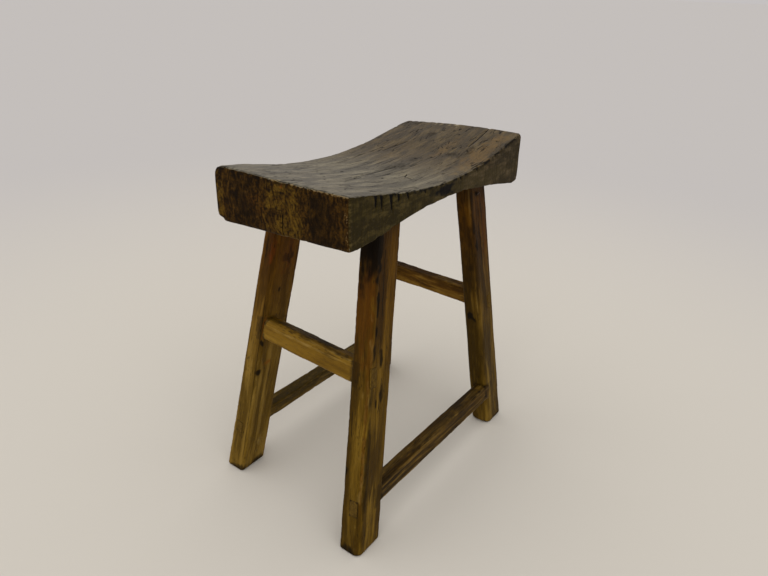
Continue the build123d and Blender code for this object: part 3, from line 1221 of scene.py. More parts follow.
@dataclass
class Seat(Timber):
    """The saddle seat; its own axes start at its landings, under its middle.

    A reach or side of two lengths says where something ends and where it is full, and a share of two
    values where in its noise it starts and is full.

    Attributes:
        arrises: Radii of its long edges: lower right, lower left, upper left, upper right.
        near_radii: How much rounder they are at the near end, in the same order.
        far_radii: The same at the far end.
        near_round_reach: How far from the near end they are rounder.
        far_round_reach: The same at the far end.
        end_corners: Radii of its upright edges: near left, near right, far right, far left.
        near_bites: Depth of the bites in the near end's upper and lower edge.
        far_bites: The same at the far end.
        nicks: Place along the seat, length and lean of each black nick in its right side.
        nick_width: Width of a nick.
        nick_taper: Its width at the top, and how much of it is lost by its end, as shares of that.
        nick_edge: Where its edge starts and is full, as shares of its width.
        nick_full: How much of its length is full.
        nick_depth: Depth of a nick.
        nick_wobble: How far a nick strays sideways.
        nick_side: Where across the seat its right side starts to be nicked and is fully so.
        edge_dirt: How strong the dirt along the right side's top is.
        edge_dirt_ragged: How ragged its edge is.
        end_dirt_front: From the near end, from the top and down the end, of the dirt on its face.
        end_dirt_top: From the near end, further in and down, of the dirt on its top.
        edge_light: How strongly the near end's upper arris is rubbed.
        corner_light: How strongly the near right upright edge is rubbed.
        bead_lean: How much more the upper arris is rubbed towards its right.
        bead_squash: How much further from it the light goes down than in.
        side_rub_and_sheen: How much of the other timbers' rubbing and painted sheen its long edges get.
        side_finish: Wood of its long sides.
        under_finish: Wood of its underside.
        end_finish: Wood of its ends.
    """

    node: str = "seat"
    seed: int = 11
    # The top's grey tones are partly a painted sheen, the reflection of the pale room on its near half; deep
    # browns its far half.
    finish: LongGrain = LongGrain(
        "seat_top", tints((84, 77, 60), (110, 101, 80), (131, 122, 99)), tint(142, 121, 72),
        tint(154, 138, 104), tint(16, 13, 9), tint(194, 174, 134), (-0.06, 0.1), roughness=0.5,
        gloss=0.05, polish=0.42, stretch=10.0, streaks=0.85, mottling=0.5, flecks=0.45, fissures=1.0,
        fissure_width=0.035)
    slot: str = "seat_wood"
    side_finish: LongGrain = LongGrain(
        "seat_side", tints((42, 34, 11), (58, 49, 19), (76, 64, 32)), tint(84, 62, 30),
        tint(132, 112, 74), tint(9, 9, 13), tint(285, 285, 370), (-0.12, 0.12), roughness=0.6,
        gloss=0.05, stretch=26.0, streaks=0.2, flecks=0.3, fissures=0.1, saw_marks=0.9)
    under_finish: LongGrain = LongGrain(
        "seat_underside", tints((38, 29, 17), (66, 50, 28), (88, 70, 42)), tint(100, 72, 36),
        tint(116, 94, 58), roughness=0.7, gloss=0.08, streaks=0.6, saw_marks=1.4, pattern=3.0)
    end_finish: EndGrain = EndGrain(
        "seat_end", tints((26, 14, 2), (74, 50, 12), (112, 84, 24)), tint(112, 62, 14),
        pith=(-0.009, 0.026))
    step: float = 0.0020
    dents: float = 0.0005
    chips: float = 0.0010
    edge_wander: float = 0.3
    arrises: Quad = (0.002, 0.002, 0.0028, 0.0028)
    near_radii: Quad = (0.005, 0.009, 0.011, 0.0)
    far_radii: Quad = (0.0, 0.0, 0.004, 0.003)
    near_round_reach: float = 0.06
    far_round_reach: float = 0.02
    end_corners: Quad = (0.0035, 0.0035, 0.003, 0.006)
    near_bites: Pair = (0.0015, 0.0034)
    far_bites: Pair = (0.0006, 0.001)
    nicks: tuple[Triple, ...] = (
        (-0.166, 0.020, 0.0), (-0.155, 0.023, 0.08), (-0.136, 0.027, 0.12), (-0.120, 0.014, -0.1),
        (-0.101, 0.013, 0.15), (-0.06, 0.008, 0.0), (0.03, 0.008, 0.1), (0.075, 0.007, 0.0))
    nick_width: float = 0.0044
    nick_taper: Pair = (1.1, 0.8)
    nick_edge: Pair = (1.0, 0.3)
    nick_full: float = 0.6
    nick_depth: float = 0.0018
    nick_wobble: float = 0.0016
    nick_side: Pair = (-0.104, -0.1085)
    edge_dirt: float = 0.85
    edge_light: float = 0.95
    corner_light: float = 0.32
    bite_share: Pair = (0.05, 0.55)
    upper_bite_reach: Pair = (0.006, 0.001)
    lower_bite_reach: Pair = (0.009, 0.002)
    edge_dirt_share: Pair = (-0.2, 0.3)
    edge_dirt_reach: Pair = (0.009, 0.002)
    edge_dirt_side: Pair = (-0.105, -0.108)
    edge_dirt_ragged: float = 0.004
    end_dirt_share: Pair = (-0.35, 0.2)
    end_dirt_side: Pair = (-0.05, 0.02)
    end_dirt_front: tuple[Pair, ...] = ((0.015, 0.008), (0.0008, 0.0025), (0.008, 0.004))
    end_dirt_top: tuple[Pair, ...] = ((0.001, 0.002), (0.0048, 0.003), (0.003, 0.001))
    bead_share: Pair = (-0.3, 0.5)
    bead_reach: Pair = (0.0042, 0.0018)
    bead_lean: float = 5.0
    bead_squash: float = 2.2
    corner_reach: Pair = (0.012, 0.004)
    side_rub_and_sheen: float = 0.5
    cracks: tuple[Crack, ...] = (
        *cracked(
            Side.THROUGH_HIGH,
            (((-0.216, -0.003), (-0.181, -0.009)), 0.0016, 0.0007),
            (((-0.113, -0.022), (-0.078, -0.017)), 0.0018, 0.0007),
            (((-0.081, -0.009), (-0.03, -0.006), (0.014, -0.008)), 0.0018, 0.001),
            (((0.076, 0.058), (0.1, 0.054), (0.123, 0.046)), 0.0016, 0.0007),
            (((0.141, -0.057), (0.175, -0.056), (0.216, -0.053)), 0.0018, 0.001),
            (((-0.027, -0.065), (-0.022, -0.05), (-0.012, -0.046)), 0.002, 0.001),
            (((-0.05, 0.03), (0.03, 0.034)), 0.0009),
            (((0.0, 0.012), (0.07, 0.016)), 0.0009),
            (((-0.16, 0.04), (-0.09, 0.043)), 0.0008),
            (((-0.15, -0.062), (-0.06, -0.066)), 0.0008)),
        *cracked(
            Side.START,
            (((-0.007, 0.004), (-0.008, 0.027)), 0.002, 0.0006),
            (((0.03, 0.0), (0.026, 0.03)), 0.0008),
            (((-0.05, 0.05), (-0.046, 0.069)), 0.0009)))
    marks: tuple[Mark, ...] = (
        *marked(
            Stain.HONEY,
            ((0.12, -0.088, 0.055), (0.1, 0.02, 0.03), 0.9),
            ((0.123, -0.026, 0.055), (0.05, 0.012, 0.03), 0.6),
            ((0.05, 0.03, 0.045), (0.05, 0.03, 0.03), 0.35),
            ((-0.215, -0.008, 0.064), (0.01, 0.003, 0.005), 0.8),
            ((-0.215, 0.045, 0.035), (0.01, 0.03, 0.02), 0.4, 0.8),
            ((-0.215, -0.085, 0.04), (0.01, 0.014, 0.03), 0.35, 0.8),
            ((0.215, 0.06, 0.035), (0.01, 0.03, 0.03), 0.4, 0.8)),
        *marked(
            Stain.PALE,
            ((-0.215, -0.01, 0.03), (0.02, 0.036, 0.06), 0.8),
            ((-0.215, -0.026, 0.018), (0.02, 0.018, 0.03), 1.0, 0.3),
            ((-0.215, 0.101, 0.03), (0.02, 0.008, 0.06), 0.8),
            ((0.215, 0.025, 0.03), (0.02, 0.04, 0.06), 0.85),
            ((0.215, -0.085, 0.04), (0.02, 0.014, 0.04), 0.7)),
        *marked(
            Stain.DARK,
            ((-0.064, 0.024, 0.045), (0.004, 0.003, 0.01)),
            ((0.104, -0.05, 0.055), (0.02, 0.010, 0.012), 0.6, 0.5),
            ((0.125, -0.066, 0.055), (0.045, 0.009, 0.014), 0.45, 0.5),
            ((0.162, 0.024, 0.06), (0.016, 0.011, 0.012), 0.55, 0.4),
            ((0.153, 0.053, 0.06), (0.012, 0.008, 0.012), 0.4, 0.5),
            ((0.02, -0.012, 0.045), (0.05, 0.012, 0.012), 0.5, 0.7),
            ((0.2, 0.095, 0.068), (0.03, 0.03, 0.012), 0.5, 0.6),
            ((0.09, 0.05, 0.052), (0.03, 0.012, 0.012), 0.4, 0.6),
            ((-0.012, -0.109, 0.033), (0.028, 0.02, 0.009)),
            ((-0.045, -0.109, 0.034), (0.016, 0.02, 0.012), 0.55, 0.7),
            ((-0.19, -0.109, 0.05), (0.016, 0.02, 0.016), 0.4, 0.7),
            ((0.11, -0.109, 0.03), (0.02, 0.02, 0.012), 0.35, 0.6),
            ((-0.215, 0.06, 0.035), (0.02, 0.03, 0.045), 0.55, 0.6),
            ((-0.215, -0.072, 0.03), (0.02, 0.03, 0.04), 0.65, 0.6),
            ((0.215, -0.045, 0.03), (0.02, 0.03, 0.045), 0.6, 0.6)))

    def size(self) -> Triple:
        """Length, width and thickness."""
        return (PLAN.seat_length, PLAN.seat_width, PLAN.end_thickness)

    def extra_lines(self) -> Array:
        """Add lines on both sides of each nick.

        Returns:
            Their shares of the length.
        """
        steps = np.array([-0.8, -0.3, 0.0, 0.3, 0.8]) * self.nick_width
        places = np.array([place for place, _, _ in self.nicks])
        return (places[:, None] + steps).ravel() / PLAN.seat_length + 0.5

    def outline(self, share: Array) -> Outline:
        """Work out the seat's cross-section, drawn in at its rounded ends.

        Args:
            share: Shares of the length.

        Returns:
            The cross-section.
        """
        reach = (share - 0.5) * PLAN.seat_length
        near = reach < 0
        distance = PLAN.half_length - np.abs(reach)
        near_left, near_right, far_right, far_left = self.end_corners
        left = np.where(near, end_inset(near_left, distance), end_inset(far_left, distance))
        right = np.where(near, end_inset(near_right, distance), end_inset(far_right, distance))
        top = PLAN.saddle_top(reach) - end_inset(self.arrises[2], distance)
        bottom = PLAN.arch(reach) + end_inset(PLAN.lower_round, distance)
        corners = np.outer(self.wander(share), np.array(self.arrises))
        corners += np.outer(smooth(self.near_round_reach, 0.0, distance) * near, np.array(self.near_radii))
        corners += np.outer(smooth(self.far_round_reach, 0.0, distance) * ~near, np.array(self.far_radii))
        sides = (right - PLAN.half_width, PLAN.half_width - left)
        return Outline(sides, (bottom, top), corners)

    def warp(self, share: Array, across: Array, height: Array) -> Array:
        """The top's and the underside's unevenness."""
        reach = (share - 0.5) * PLAN.seat_length
        return PLAN.top_warp(reach, across) * height + PLAN.bottom_warp(reach, across) * (1 - height)

    def lengthwise(self, share: Array, across: Array, through: Array) -> Array:
        """From the seat's middle."""
        return (share - 0.5) * PLAN.seat_length

    def place(self, own: Array) -> Array:
        """Lean the seat about its landings.

        Args:
            own: Points in its own axes.

        Returns:
            The points in the row frame.
        """
        lean_sin, lean_cos = math.sin(PLAN.seat_lean), math.cos(PLAN.seat_lean)
        reach, across, through = own.T
        return np.stack([
            PLAN.seat_middle + reach,
            across * lean_cos + through * lean_sin,
            PLAN.landing_height - across * lean_sin + through * lean_cos,
        ], axis=1)

    def from_top(self, own: Array) -> Array:
        """How far points are under the seat's top."""
        return PLAN.saddle_top(own[:, 0]) + PLAN.top_warp(own[:, 0], own[:, 1]) - own[:, 2]

    def nick_share(self, own: Array) -> Array:
        """Find the black nicks of the right side.

        Args:
            own: Points in the seat's axes.

        Returns:
            One in a nick, zero outside.
        """
        under = self.from_top(own)
        share = np.zeros(len(own))
        wobble = self.nick_wobble * Wear.SEAT_NICKS.at(own, self.seed)
        wide, lost = self.nick_taper
        for place, length, lean in self.nicks:
            taper = self.nick_width * (wide - lost * np.clip(under / length, 0.0, 1.0))
            across = smooth(*self.nick_edge, np.abs(own[:, 0] + wobble - place - lean * under) / taper)
            share = np.maximum(share, across * smooth(length, length * self.nick_full, under))
        return share * smooth(*self.nick_side, own[:, 1])

    def depth(self, skin: Skin) -> Array:
        """Work out the seat's wear, with bites along its ends and nicks in its right side.

        Args:
            skin: The seat's skin.

        Returns:
            Depths.
        """
        own = skin.own
        over = own[:, 2] - PLAN.arch(own[:, 0]) - PLAN.bottom_warp(own[:, 0], own[:, 1])
        at_top = smooth(*self.upper_bite_reach, np.hypot(skin.end, self.from_top(own)))
        at_bottom = smooth(*self.lower_bite_reach, np.hypot(skin.end, over))
        ends = (self.near_bites, self.far_bites)
        near, far = (upper * at_top + lower * at_bottom for upper, lower in ends)
        bites = smooth(*self.bite_share, Wear.SEAT_BITES.at(own, self.seed))
        bites = bites * np.where(own[:, 0] < 0, near, far)
        return super().depth(skin) + bites + self.nick_depth * self.nick_share(own)

    def darkening(self, skin: Skin) -> Array:
        """Find the black nicks, and the dirt along the right side's top and the near end's left.

        Args:
            skin: The seat's skin.

        Returns:
            How dirty each point is, from zero to one.
        """
        own = skin.own
        under = self.from_top(own)
        rough = Wear.SEAT_GRIME.at(own, self.seed)
        edge = smooth(*self.edge_dirt_reach, under + self.edge_dirt_ragged * rough)
        edge = edge * smooth(*self.edge_dirt_side, own[:, 1])
        edge = self.edge_dirt * edge * smooth(*self.edge_dirt_share, rough)
        back = own[:, 0] + PLAN.half_length
        from_end, from_top, down = self.end_dirt_front
        below = smooth(*from_end, back) * smooth(*from_top, under) * smooth(*down, under)
        below = below * smooth(*self.end_dirt_side, own[:, 1])
        from_end, further_in, down = self.end_dirt_top
        behind = smooth(*from_end, back) * smooth(*further_in, back) * smooth(*down, under)
        end = smooth(*self.end_dirt_share, Wear.SEAT_CHIPPED.at(own, self.seed))
        end = end * np.maximum(below, behind)
        return np.maximum(self.nick_share(own), np.maximum(edge, end))

    def rubbed_and_sheen(self, skin: Skin) -> Array:
        """Find the light edges: long edges, worn and with painted sheen, the end arris and the near right
        corner.

        Args:
            skin: The seat's skin.

        Returns:
            How light each point is rubbed, from zero to one.
        """
        own = skin.own
        beads = smooth(*self.bead_share, Wear.SEAT_BEADS.at(own, self.seed) - self.bead_lean * own[:, 1])
        arris = smooth(*self.bead_reach, np.hypot(self.bead_squash * skin.end, self.from_top(own)))
        arris = self.edge_light * beads * arris
        away = np.hypot(own[:, 0] + PLAN.half_length, own[:, 1] + PLAN.half_width)
        corner = self.corner_light * smooth(*self.corner_reach, away)
        return np.maximum(np.maximum(super().rubbed_and_sheen(skin) * self.side_rub_and_sheen, arris), corner)

    def finishes(self) -> list[bpy.types.Material]:
        """Top, sides, ends and underside."""
        woods = (self.finish, self.side_finish, self.end_finish, self.under_finish)
        return [finish.material() for finish in woods]

    def face_slots(self, look: Array) -> Array:
        """Pick tops, sides, ends and underside.

        Args:
            look: The way each face looks.

        Returns:
            Its material slot.
        """
        slots = np.where(np.abs(look[:, 1]) > SQUARE_ON, 1, 0)
        slots = np.where(np.abs(look[:, 0]) > SQUARE_ON, 2, slots)
        return np.where((look[:, 2] < DOWNWARD) & (slots == 0), 3, slots)


@dataclass(frozen=True)
class LegPlan:
    """Where one leg stands.

    Attributes:
        end: Minus one at the near end, one at the far end.
        side: Minus one on the right, one on the left.
        splay: How much further out its foot is than its head, along the stool.
    """

    end: int
    side: int
    splay: float

    def centre(self, height: Array) -> Array:
        """Find the leg's middle.

        Args:
            height: Heights over the floor.

        Returns:
            Points in the row frame.
        """
        left = 1 - height / PLAN.arch_crown
        along = PLAN.head_reach + self.splay * left
        across = PLAN.head_spread + PLAN.splay_across * left
        return np.stack([PLAN.seat_middle + self.end * along, self.side * across, height], axis=1)

    def half_sizes(self, height: Array) -> tuple[Array, Array]:
        """Work out half of the leg's length and width.

        Args:
            height: Heights over the floor.

        Returns:
            Both halves.
        """
        share = height / PLAN.arch_crown
        length = PLAN.foot_length + (PLAN.head_length - PLAN.foot_length) * share
        width = PLAN.foot_width + (PLAN.head_width - PLAN.foot_width) * share
        return length / 2, width / 2

    def outer_point(self, outward: Array, height: float) -> Array:
        """Find a point on the face that looks outward.

        Args:
            outward: The way the face looks.
            height: The point's height.

        Returns:
            The point.
        """
        level = np.array([height])
        length, width = self.half_sizes(level)
        return self.centre(level)[0] + outward * (abs(outward[0]) * length[0] + abs(outward[1]) * width[0])

    def face(self, outward: Array) -> tuple[Array, Array]:
        """Find the plane of that face.

        Args:
            outward: The way the face looks.

        Returns:
            A point on it, and its normal.
        """
        low, high = self.outer_point(outward, 0.0), self.outer_point(outward, PLAN.arch_crown)
        normal = np.cross(np.cross(outward, np.array([0.0, 0.0, 1.0])), high - low)
        return low, normal / np.linalg.norm(normal)


@dataclass
class Leg(Timber):
    """One splayed leg; its own axes are its height, and X and Y from its middle.

    Attributes:
        plan: Where it stands.
        corners: Radii of its long edges: low low, high low, high high, low high.
        head_corner: Radius of the first of them at the leg's head.
        bevel: One for each edge that is cut flat, zero for round ones.
        foot_round: Radius of its worn foot.
        foot_dirt: Dirt at its foot: how strong, how far it goes, and how ragged its edge is.
        head_dirt_and_shade: The same under the seat, dirt and painted shade.
        rail_dirt_and_shade: The same round the rails, dirt and painted shade.
        seam: Half width of the lines round the tenons' ends.
        seam_reach: How far from such a line the surface knows of it.
        rails: The rails that meet it.
    """

    slot: str = "leg_wood"
    dents: float = 0.0003
    chips: float = 0.00035
    edge_wander: float = 0.15
    plan: LegPlan = LegPlan(1, 1, 0.07)
    corners: Quad = (0.005, 0.005, 0.005, 0.005)
    head_corner: float = 0.005
    bevel: Quad = (0.0, 0.0, 0.0, 0.0)
    foot_round: float = 0.004
    foot_dirt: Triple = (0.75, 0.013, 0.01)
    head_dirt_and_shade: Triple = (0.45, 0.025, 0.012)
    rail_dirt_and_shade: Triple = (0.5, 0.005, 0.003)
    seam: float = 0.0003
    seam_reach: float = 0.005
    rails: list["Rail"] = field(default_factory=list)

    def size(self) -> Triple:
        """Length, width and thickness."""
        return (PLAN.arch_crown, PLAN.head_length, PLAN.foot_width)

    def outline(self, share: Array) -> Outline:
        """Work out the leg's cross-section, drawn in at its worn foot.

        Args:
            share: Shares of the length.

        Returns:
            The cross-section.
        """
        height = share * PLAN.arch_crown
        length, width = self.plan.half_sizes(height)
        drawn = end_inset(self.foot_round, height)
        corners = np.outer(self.wander(share), np.array(self.corners))
        corners[:, 0] *= 1 + (self.head_corner / self.corners[0] - 1) * share**1.5
        return Outline((drawn - length, length - drawn), (drawn - width, width - drawn), corners, self.bevel)

    def lengthwise(self, share: Array, across: Array, through: Array) -> Array:
        """Work out heights over the floor, so that the head ends on the seat's underside.

        Args:
            share: Shares of the length.
            across: Places along the stool, from the leg's middle.
            through: Places across the stool, from the leg's middle.

        Returns:
            Heights.
        """
        top = np.full(len(share), PLAN.arch_crown)
        for _ in range(4):
            centre = self.plan.centre(top)
            top = PLAN.underside(centre[:, 0] + across, centre[:, 1] + through)
        return share * top

    def place(self, own: Array) -> Array:
        """Lean the leg both ways."""
        offset = np.stack([own[:, 1], own[:, 2], np.zeros(len(own))], axis=1)
        return self.plan.centre(own[:, 0]) + offset

    def darkening(self, skin: Skin) -> Array:
        """Find the dirt at the foot, and the dirt and painted shade under the seat and round the rails.

        Args:
            skin: The leg's skin.

        Returns:
            How dirty each point is, from zero to one.
        """
        height = skin.own[:, 0]
        rough = Wear.DIRT_AND_SHADE.at(skin.own, self.seed)
        foot = gathered(self.foot_dirt, height, rough)
        # Darker under the seat: dirt and painted shade.
        head = gathered(self.head_dirt_and_shade, PLAN.landing_height - height, rough)
        dirt_and_shade = np.maximum(foot, head)
        # Dirt and painted shade where the rails meet the leg.
        for rail in self.rails:
            away = np.abs(rail.distance(skin.points, rail.half_thickness, rail.half_depth))
            inside = ~rail.on_outside(skin.points, self.plan)
            dirt_and_shade = np.maximum(dirt_and_shade, gathered(self.rail_dirt_and_shade, away, rough) * inside)
        return dirt_and_shade

    def seams(self, points: Array) -> tuple[Array, Array]:
        """Find the outlines of the rails' tenon ends.

        Args:
            points: Points in the row frame.

        Returns:
            Signed distance from the line, and its half width or zero.
        """
        offset, width = super().seams(points)
        for rail in self.rails:
            away = rail.distance(points, *rail.tenon_half())
            near = (np.abs(away) < self.seam_reach) & rail.on_outside(points, self.plan)
            offset = np.where(near, away, offset)
            width = np.where(near, self.seam, width)
        return offset, width


@dataclass
class Rail(Timber):
    """One rail; its own axes are along it, outward and up from its middle line.

    Attributes:
        legs: The legs that it starts from and ends in.
        outward: The way its outer face looks.
        top: Height of its upper edge.
        deep: Its depth.
        arris: Radius of its long edges.
        worn_arris: Radius of its outer upper edge.
        half_thickness: Half of its thickness.
        stand: How far it stands out of the last leg's face.
        lap: How far it laps over the last leg, or zero.
        lap_round: Radius of the lapped end.
        lap_light: How strongly the lapped end is rubbed light.
        lap_fade: How far from that end the light ends and is full.
        sink: How far its shoulders go into the legs.
        tenon_half_thickness: Half of its tenons' thickness.
        tenon_shoulder: Height of the shoulders over and under its tenons.
        tenon_root: How far inside the bar its tenons start.
        tenon_proud: How far they stand out of the legs.
        tenon_lines: How many lattice lines a tenon has along, across and up.
        rim: How far past the legs' inner faces the tenons' dirty rims start.
        rim_dirt: How strong the dirt in those rims is.
        rim_fade: How far from a tenon's surface it ends and is full.
        joint_dirt_and_shade: Dirt and painted shade where the rail meets its legs: how strong, how far, and
            how ragged.
        end_finish: Wood of its tenons' ends.
    """

    legs: tuple[LegPlan, LegPlan] = (LegPlan(-1, 1, 0.07), LegPlan(1, 1, 0.07))
    outward: Triple = (0.0, 1.0, 0.0)
    top: float = 0.1
    deep: float = 0.03
    arris: float = 0.0035
    worn_arris: float = 0.0035
    half_thickness: float = 0.01125
    stand: float = -PLAN.rail_inset
    lap: float = 0.0
    lap_round: float = 0.0035
    lap_light: float = 0.8
    lap_fade: Pair = (0.005, 0.001)
    sink: float = 0.0008
    tenon_half_thickness: float = 0.0065
    tenon_shoulder: float = 0.0025
    tenon_root: float = 0.004
    tenon_proud: float = 0.0003
    tenon_lines: tuple[int, int, int] = (17, 7, 13)
    rim: float = 0.003
    rim_dirt: float = 0.35
    rim_fade: Pair = (0.0016, 0.0004)
    joint_dirt_and_shade: Triple = (0.6, 0.006, 0.003)
    end_finish: EndGrain = EndGrain(
        "tenon_ends", tints((74, 55, 18), (100, 76, 28), (116, 90, 38)), tint(110, 74, 28), rings=400.0)

    def __post_init__(self) -> None:
        """Work out the rail's line and its two cross directions."""
        out = np.array(self.outward)
        self.half_depth = self.deep / 2
        height = self.top - self.half_depth
        ends = []
        for leg, stand in zip(self.legs, (-PLAN.rail_inset, self.stand)):
            centre = leg.centre(np.array([height]))[0]
            face = leg.outer_point(out, height) @ out
            ends.append(centre + out * (face + stand - self.half_thickness - centre @ out))
        self.first = ends[0]
        self.run_length = float(np.linalg.norm(ends[1] - ends[0]))
        self.direction = (ends[1] - ends[0]) / self.run_length
        low = sum(leg.outer_point(out, 0.0) @ out for leg in self.legs) / 2
        lean = math.atan((low - self.legs[0].outer_point(out, PLAN.arch_crown) @ out) / PLAN.arch_crown)
        normal = out * math.cos(lean) + np.array([0.0, 0.0, math.sin(lean)])
        normal = normal - self.direction * (normal @ self.direction)
        self.normal = normal / np.linalg.norm(normal)
        up = np.cross(self.direction, self.normal)
        self.handed = 1.0 if up[2] > 0 else -1.0
        self.up = up * self.handed

    def tenon_half(self) -> Pair:
        """Half of the tenons' thickness and height."""
        return self.tenon_half_thickness, self.half_depth - self.tenon_shoulder

    def distance(self, points: Array, half_thickness: float, half_depth: float) -> Array:
        """Measure points from a bar along the rail's line, carried on past its ends.

        Args:
            points: Points in the row frame.
            half_thickness: Half of the bar's thickness.
            half_depth: Half of its depth.

        Returns:
            Signed distances.
        """
        rel = points - self.first
        out = np.abs(rel @ self.normal) - half_thickness
        high = np.abs(rel @ self.up) - half_depth
        outside = np.hypot(np.maximum(out, 0.0), np.maximum(high, 0.0))
        return outside + np.minimum(np.maximum(out, high), 0.0)

    def on_outside(self, points: Array, leg: LegPlan) -> Array:
        """Whether points lie on the leg's face that the tenon comes out of."""
        along = (points - self.first) @ self.direction
        return along < 0 if leg is self.legs[0] else along > self.run_length

    def run_to(self, leg: LegPlan, towards: float, across: Array, through: Array) -> Array:
        """How far along the rail lines with these offsets meet a leg's face.

        Args:
            leg: The leg.
            towards: One for the face that looks along the rail, minus one for the other.
            across: Offsets outward.
            through: Offsets up.

        Returns:
            Distances along the rail.
        """
        main = np.abs(self.direction) > 0.5
        point, normal = leg.face(np.where(main, np.sign(self.direction) * towards, 0.0))
        base = self.first + np.outer(across, self.normal) + np.outer(through, self.up)
        return ((point - base) @ normal) / (self.direction @ normal)

    def inner_faces(self, across: Array, through: Array) -> tuple[Array, Array]:
        """How far along the rail its two legs' inner faces are, at these offsets."""
        first = self.run_to(self.legs[0], 1.0, across, through)
        return first, self.run_to(self.legs[1], -1.0, across, through)

    def size(self) -> Triple:
        """Length, width and thickness."""
        return (self.run_length, self.half_thickness * 2, self.deep)

    def outline(self, share: Array) -> Outline:
        """Work out the rail's cross-section; a lapped end is rounded.

        Args:
            share: Shares of the length.

        Returns:
            The cross-section.
        """
        drawn = np.zeros(len(share))
        if self.lap:
            drawn = end_inset(self.lap_round, (1 - share) * self.run_length)
        radii = (self.arris, self.arris, self.worn_arris, self.arris)
        wide, high = self.half_thickness - drawn, self.half_depth - drawn
        return Outline((-wide, wide), (-high, high), np.outer(self.wander(share), np.array(radii)))

    def lengthwise(self, share: Array, across: Array, through: Array) -> Array:
        """Work out places along the rail, between the two legs' faces.

        Args:
            share: Shares of the length.
            across: Offsets outward.
            through: Offsets up.

        Returns:
            Distances along the rail.
        """
        first, last = self.inner_faces(across, through)
        first, last = first - self.sink, last + self.sink
        if self.lap:
            last = np.full(len(share), last.mean() + self.lap)
        return first + (last - first) * share

    def place(self, own: Array) -> Array:
        """Put points into the row frame."""
        return self.first + own @ np.stack([self.direction, self.normal, self.up])

    def skin(self) -> Skin:
        """Make the bar and its two tenons, each a closed skin.

        Returns:
            All three as one skin.
        """
        skins = [super().skin(), self.tenon(self.legs[0], -1.0), self.tenon(self.legs[1], 1.0)]
        starts = np.cumsum([0] + [len(skin.points) for skin in skins])
        faces = np.concatenate([skin.faces + start for skin, start in zip(skins, starts)])
        columns = [np.concatenate([getattr(skin, name) for skin in skins])
                   for name in ("points", "own", "edge", "end")]
        return Skin(*columns, faces[:, :: int(self.handed)])

    def tenon(self, leg: LegPlan, towards: float) -> Skin:
        """Make one tenon, from inside the bar to the leg's outer face.

        Args:
            leg: The leg that it goes through.
            towards: One at the rail's last end, minus one at its first.

        Returns:
            The tenon's skin.
        """
        shares, faces = box_lattice([np.linspace(0.0, 1.0, count) for count in self.tenon_lines])
        across, through = ((shares[:, 1:] * 2 - 1) * np.array(self.tenon_half())).T
        inner = self.run_to(leg, -towards, across, through) - towards * self.tenon_root
        outer = self.run_to(leg, towards, across, through) + towards * self.tenon_proud
        own = np.stack([inner + (outer - inner) * shares[:, 0], across, through], axis=1)
        far = np.full(len(own), 0.02)
        return Skin(self.place(own), own, far, far, faces[:, :: int(towards)])

    def darkening(self, skin: Skin) -> Array:
        """Find the dirt and painted shade where the rail meets its legs, and the dirt round its tenons'
        ends.

        Args:
            skin: The rail's skin.

        Returns:
            How dirty each point is, from zero to one.
        """
        along, across, through = skin.own.T
        rough = Wear.DIRT_AND_SHADE.at(skin.own, self.seed)
        first, last = self.inner_faces(across, through)
        # Dirt and painted shade near the legs' inner faces.
        away = np.minimum(np.abs(along - first), np.abs(along - last))
        past = (along < first - self.rim) | (along > last + self.rim)
        rim = past * smooth(*self.rim_fade, np.abs(self.distance(skin.points, *self.tenon_half())))
        return np.maximum(gathered(self.joint_dirt_and_shade, away, rough), self.rim_dirt * rim)

    def rubbed_and_sheen(self, skin: Skin) -> Array:
        """Light edges, partly wear and partly painted sheen, and a light rim round the lapped end."""
        lapped = smooth(*self.lap_fade, skin.end) * (skin.own[:, 0] > self.run_length) if self.lap else 0.0
        return np.maximum(super().rubbed_and_sheen(skin), self.lap_light * lapped)

    def finishes(self) -> list[bpy.types.Material]:
        """Long grain, and end grain for the tenons' ends."""
        return [self.finish.material(), self.end_finish.material()]

    def face_slots(self, look: Array) -> Array:
        """End grain where a face looks along the rail."""
        return np.where(np.abs(look[:, 0]) > SQUARE_ON, 1, 0)


@dataclass
class Nail:
    """The forged nail in the far right leg."""

    node: str = "seat_nail"
    finish: OldIron = OldIron()

    def build(self) -> None:
        """Dress the model's own nail."""
        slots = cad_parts[self.node].data.materials
        slots.clear()
        slots.append(self.finish.material())
        LOG.info("%s: dressed", self.node)


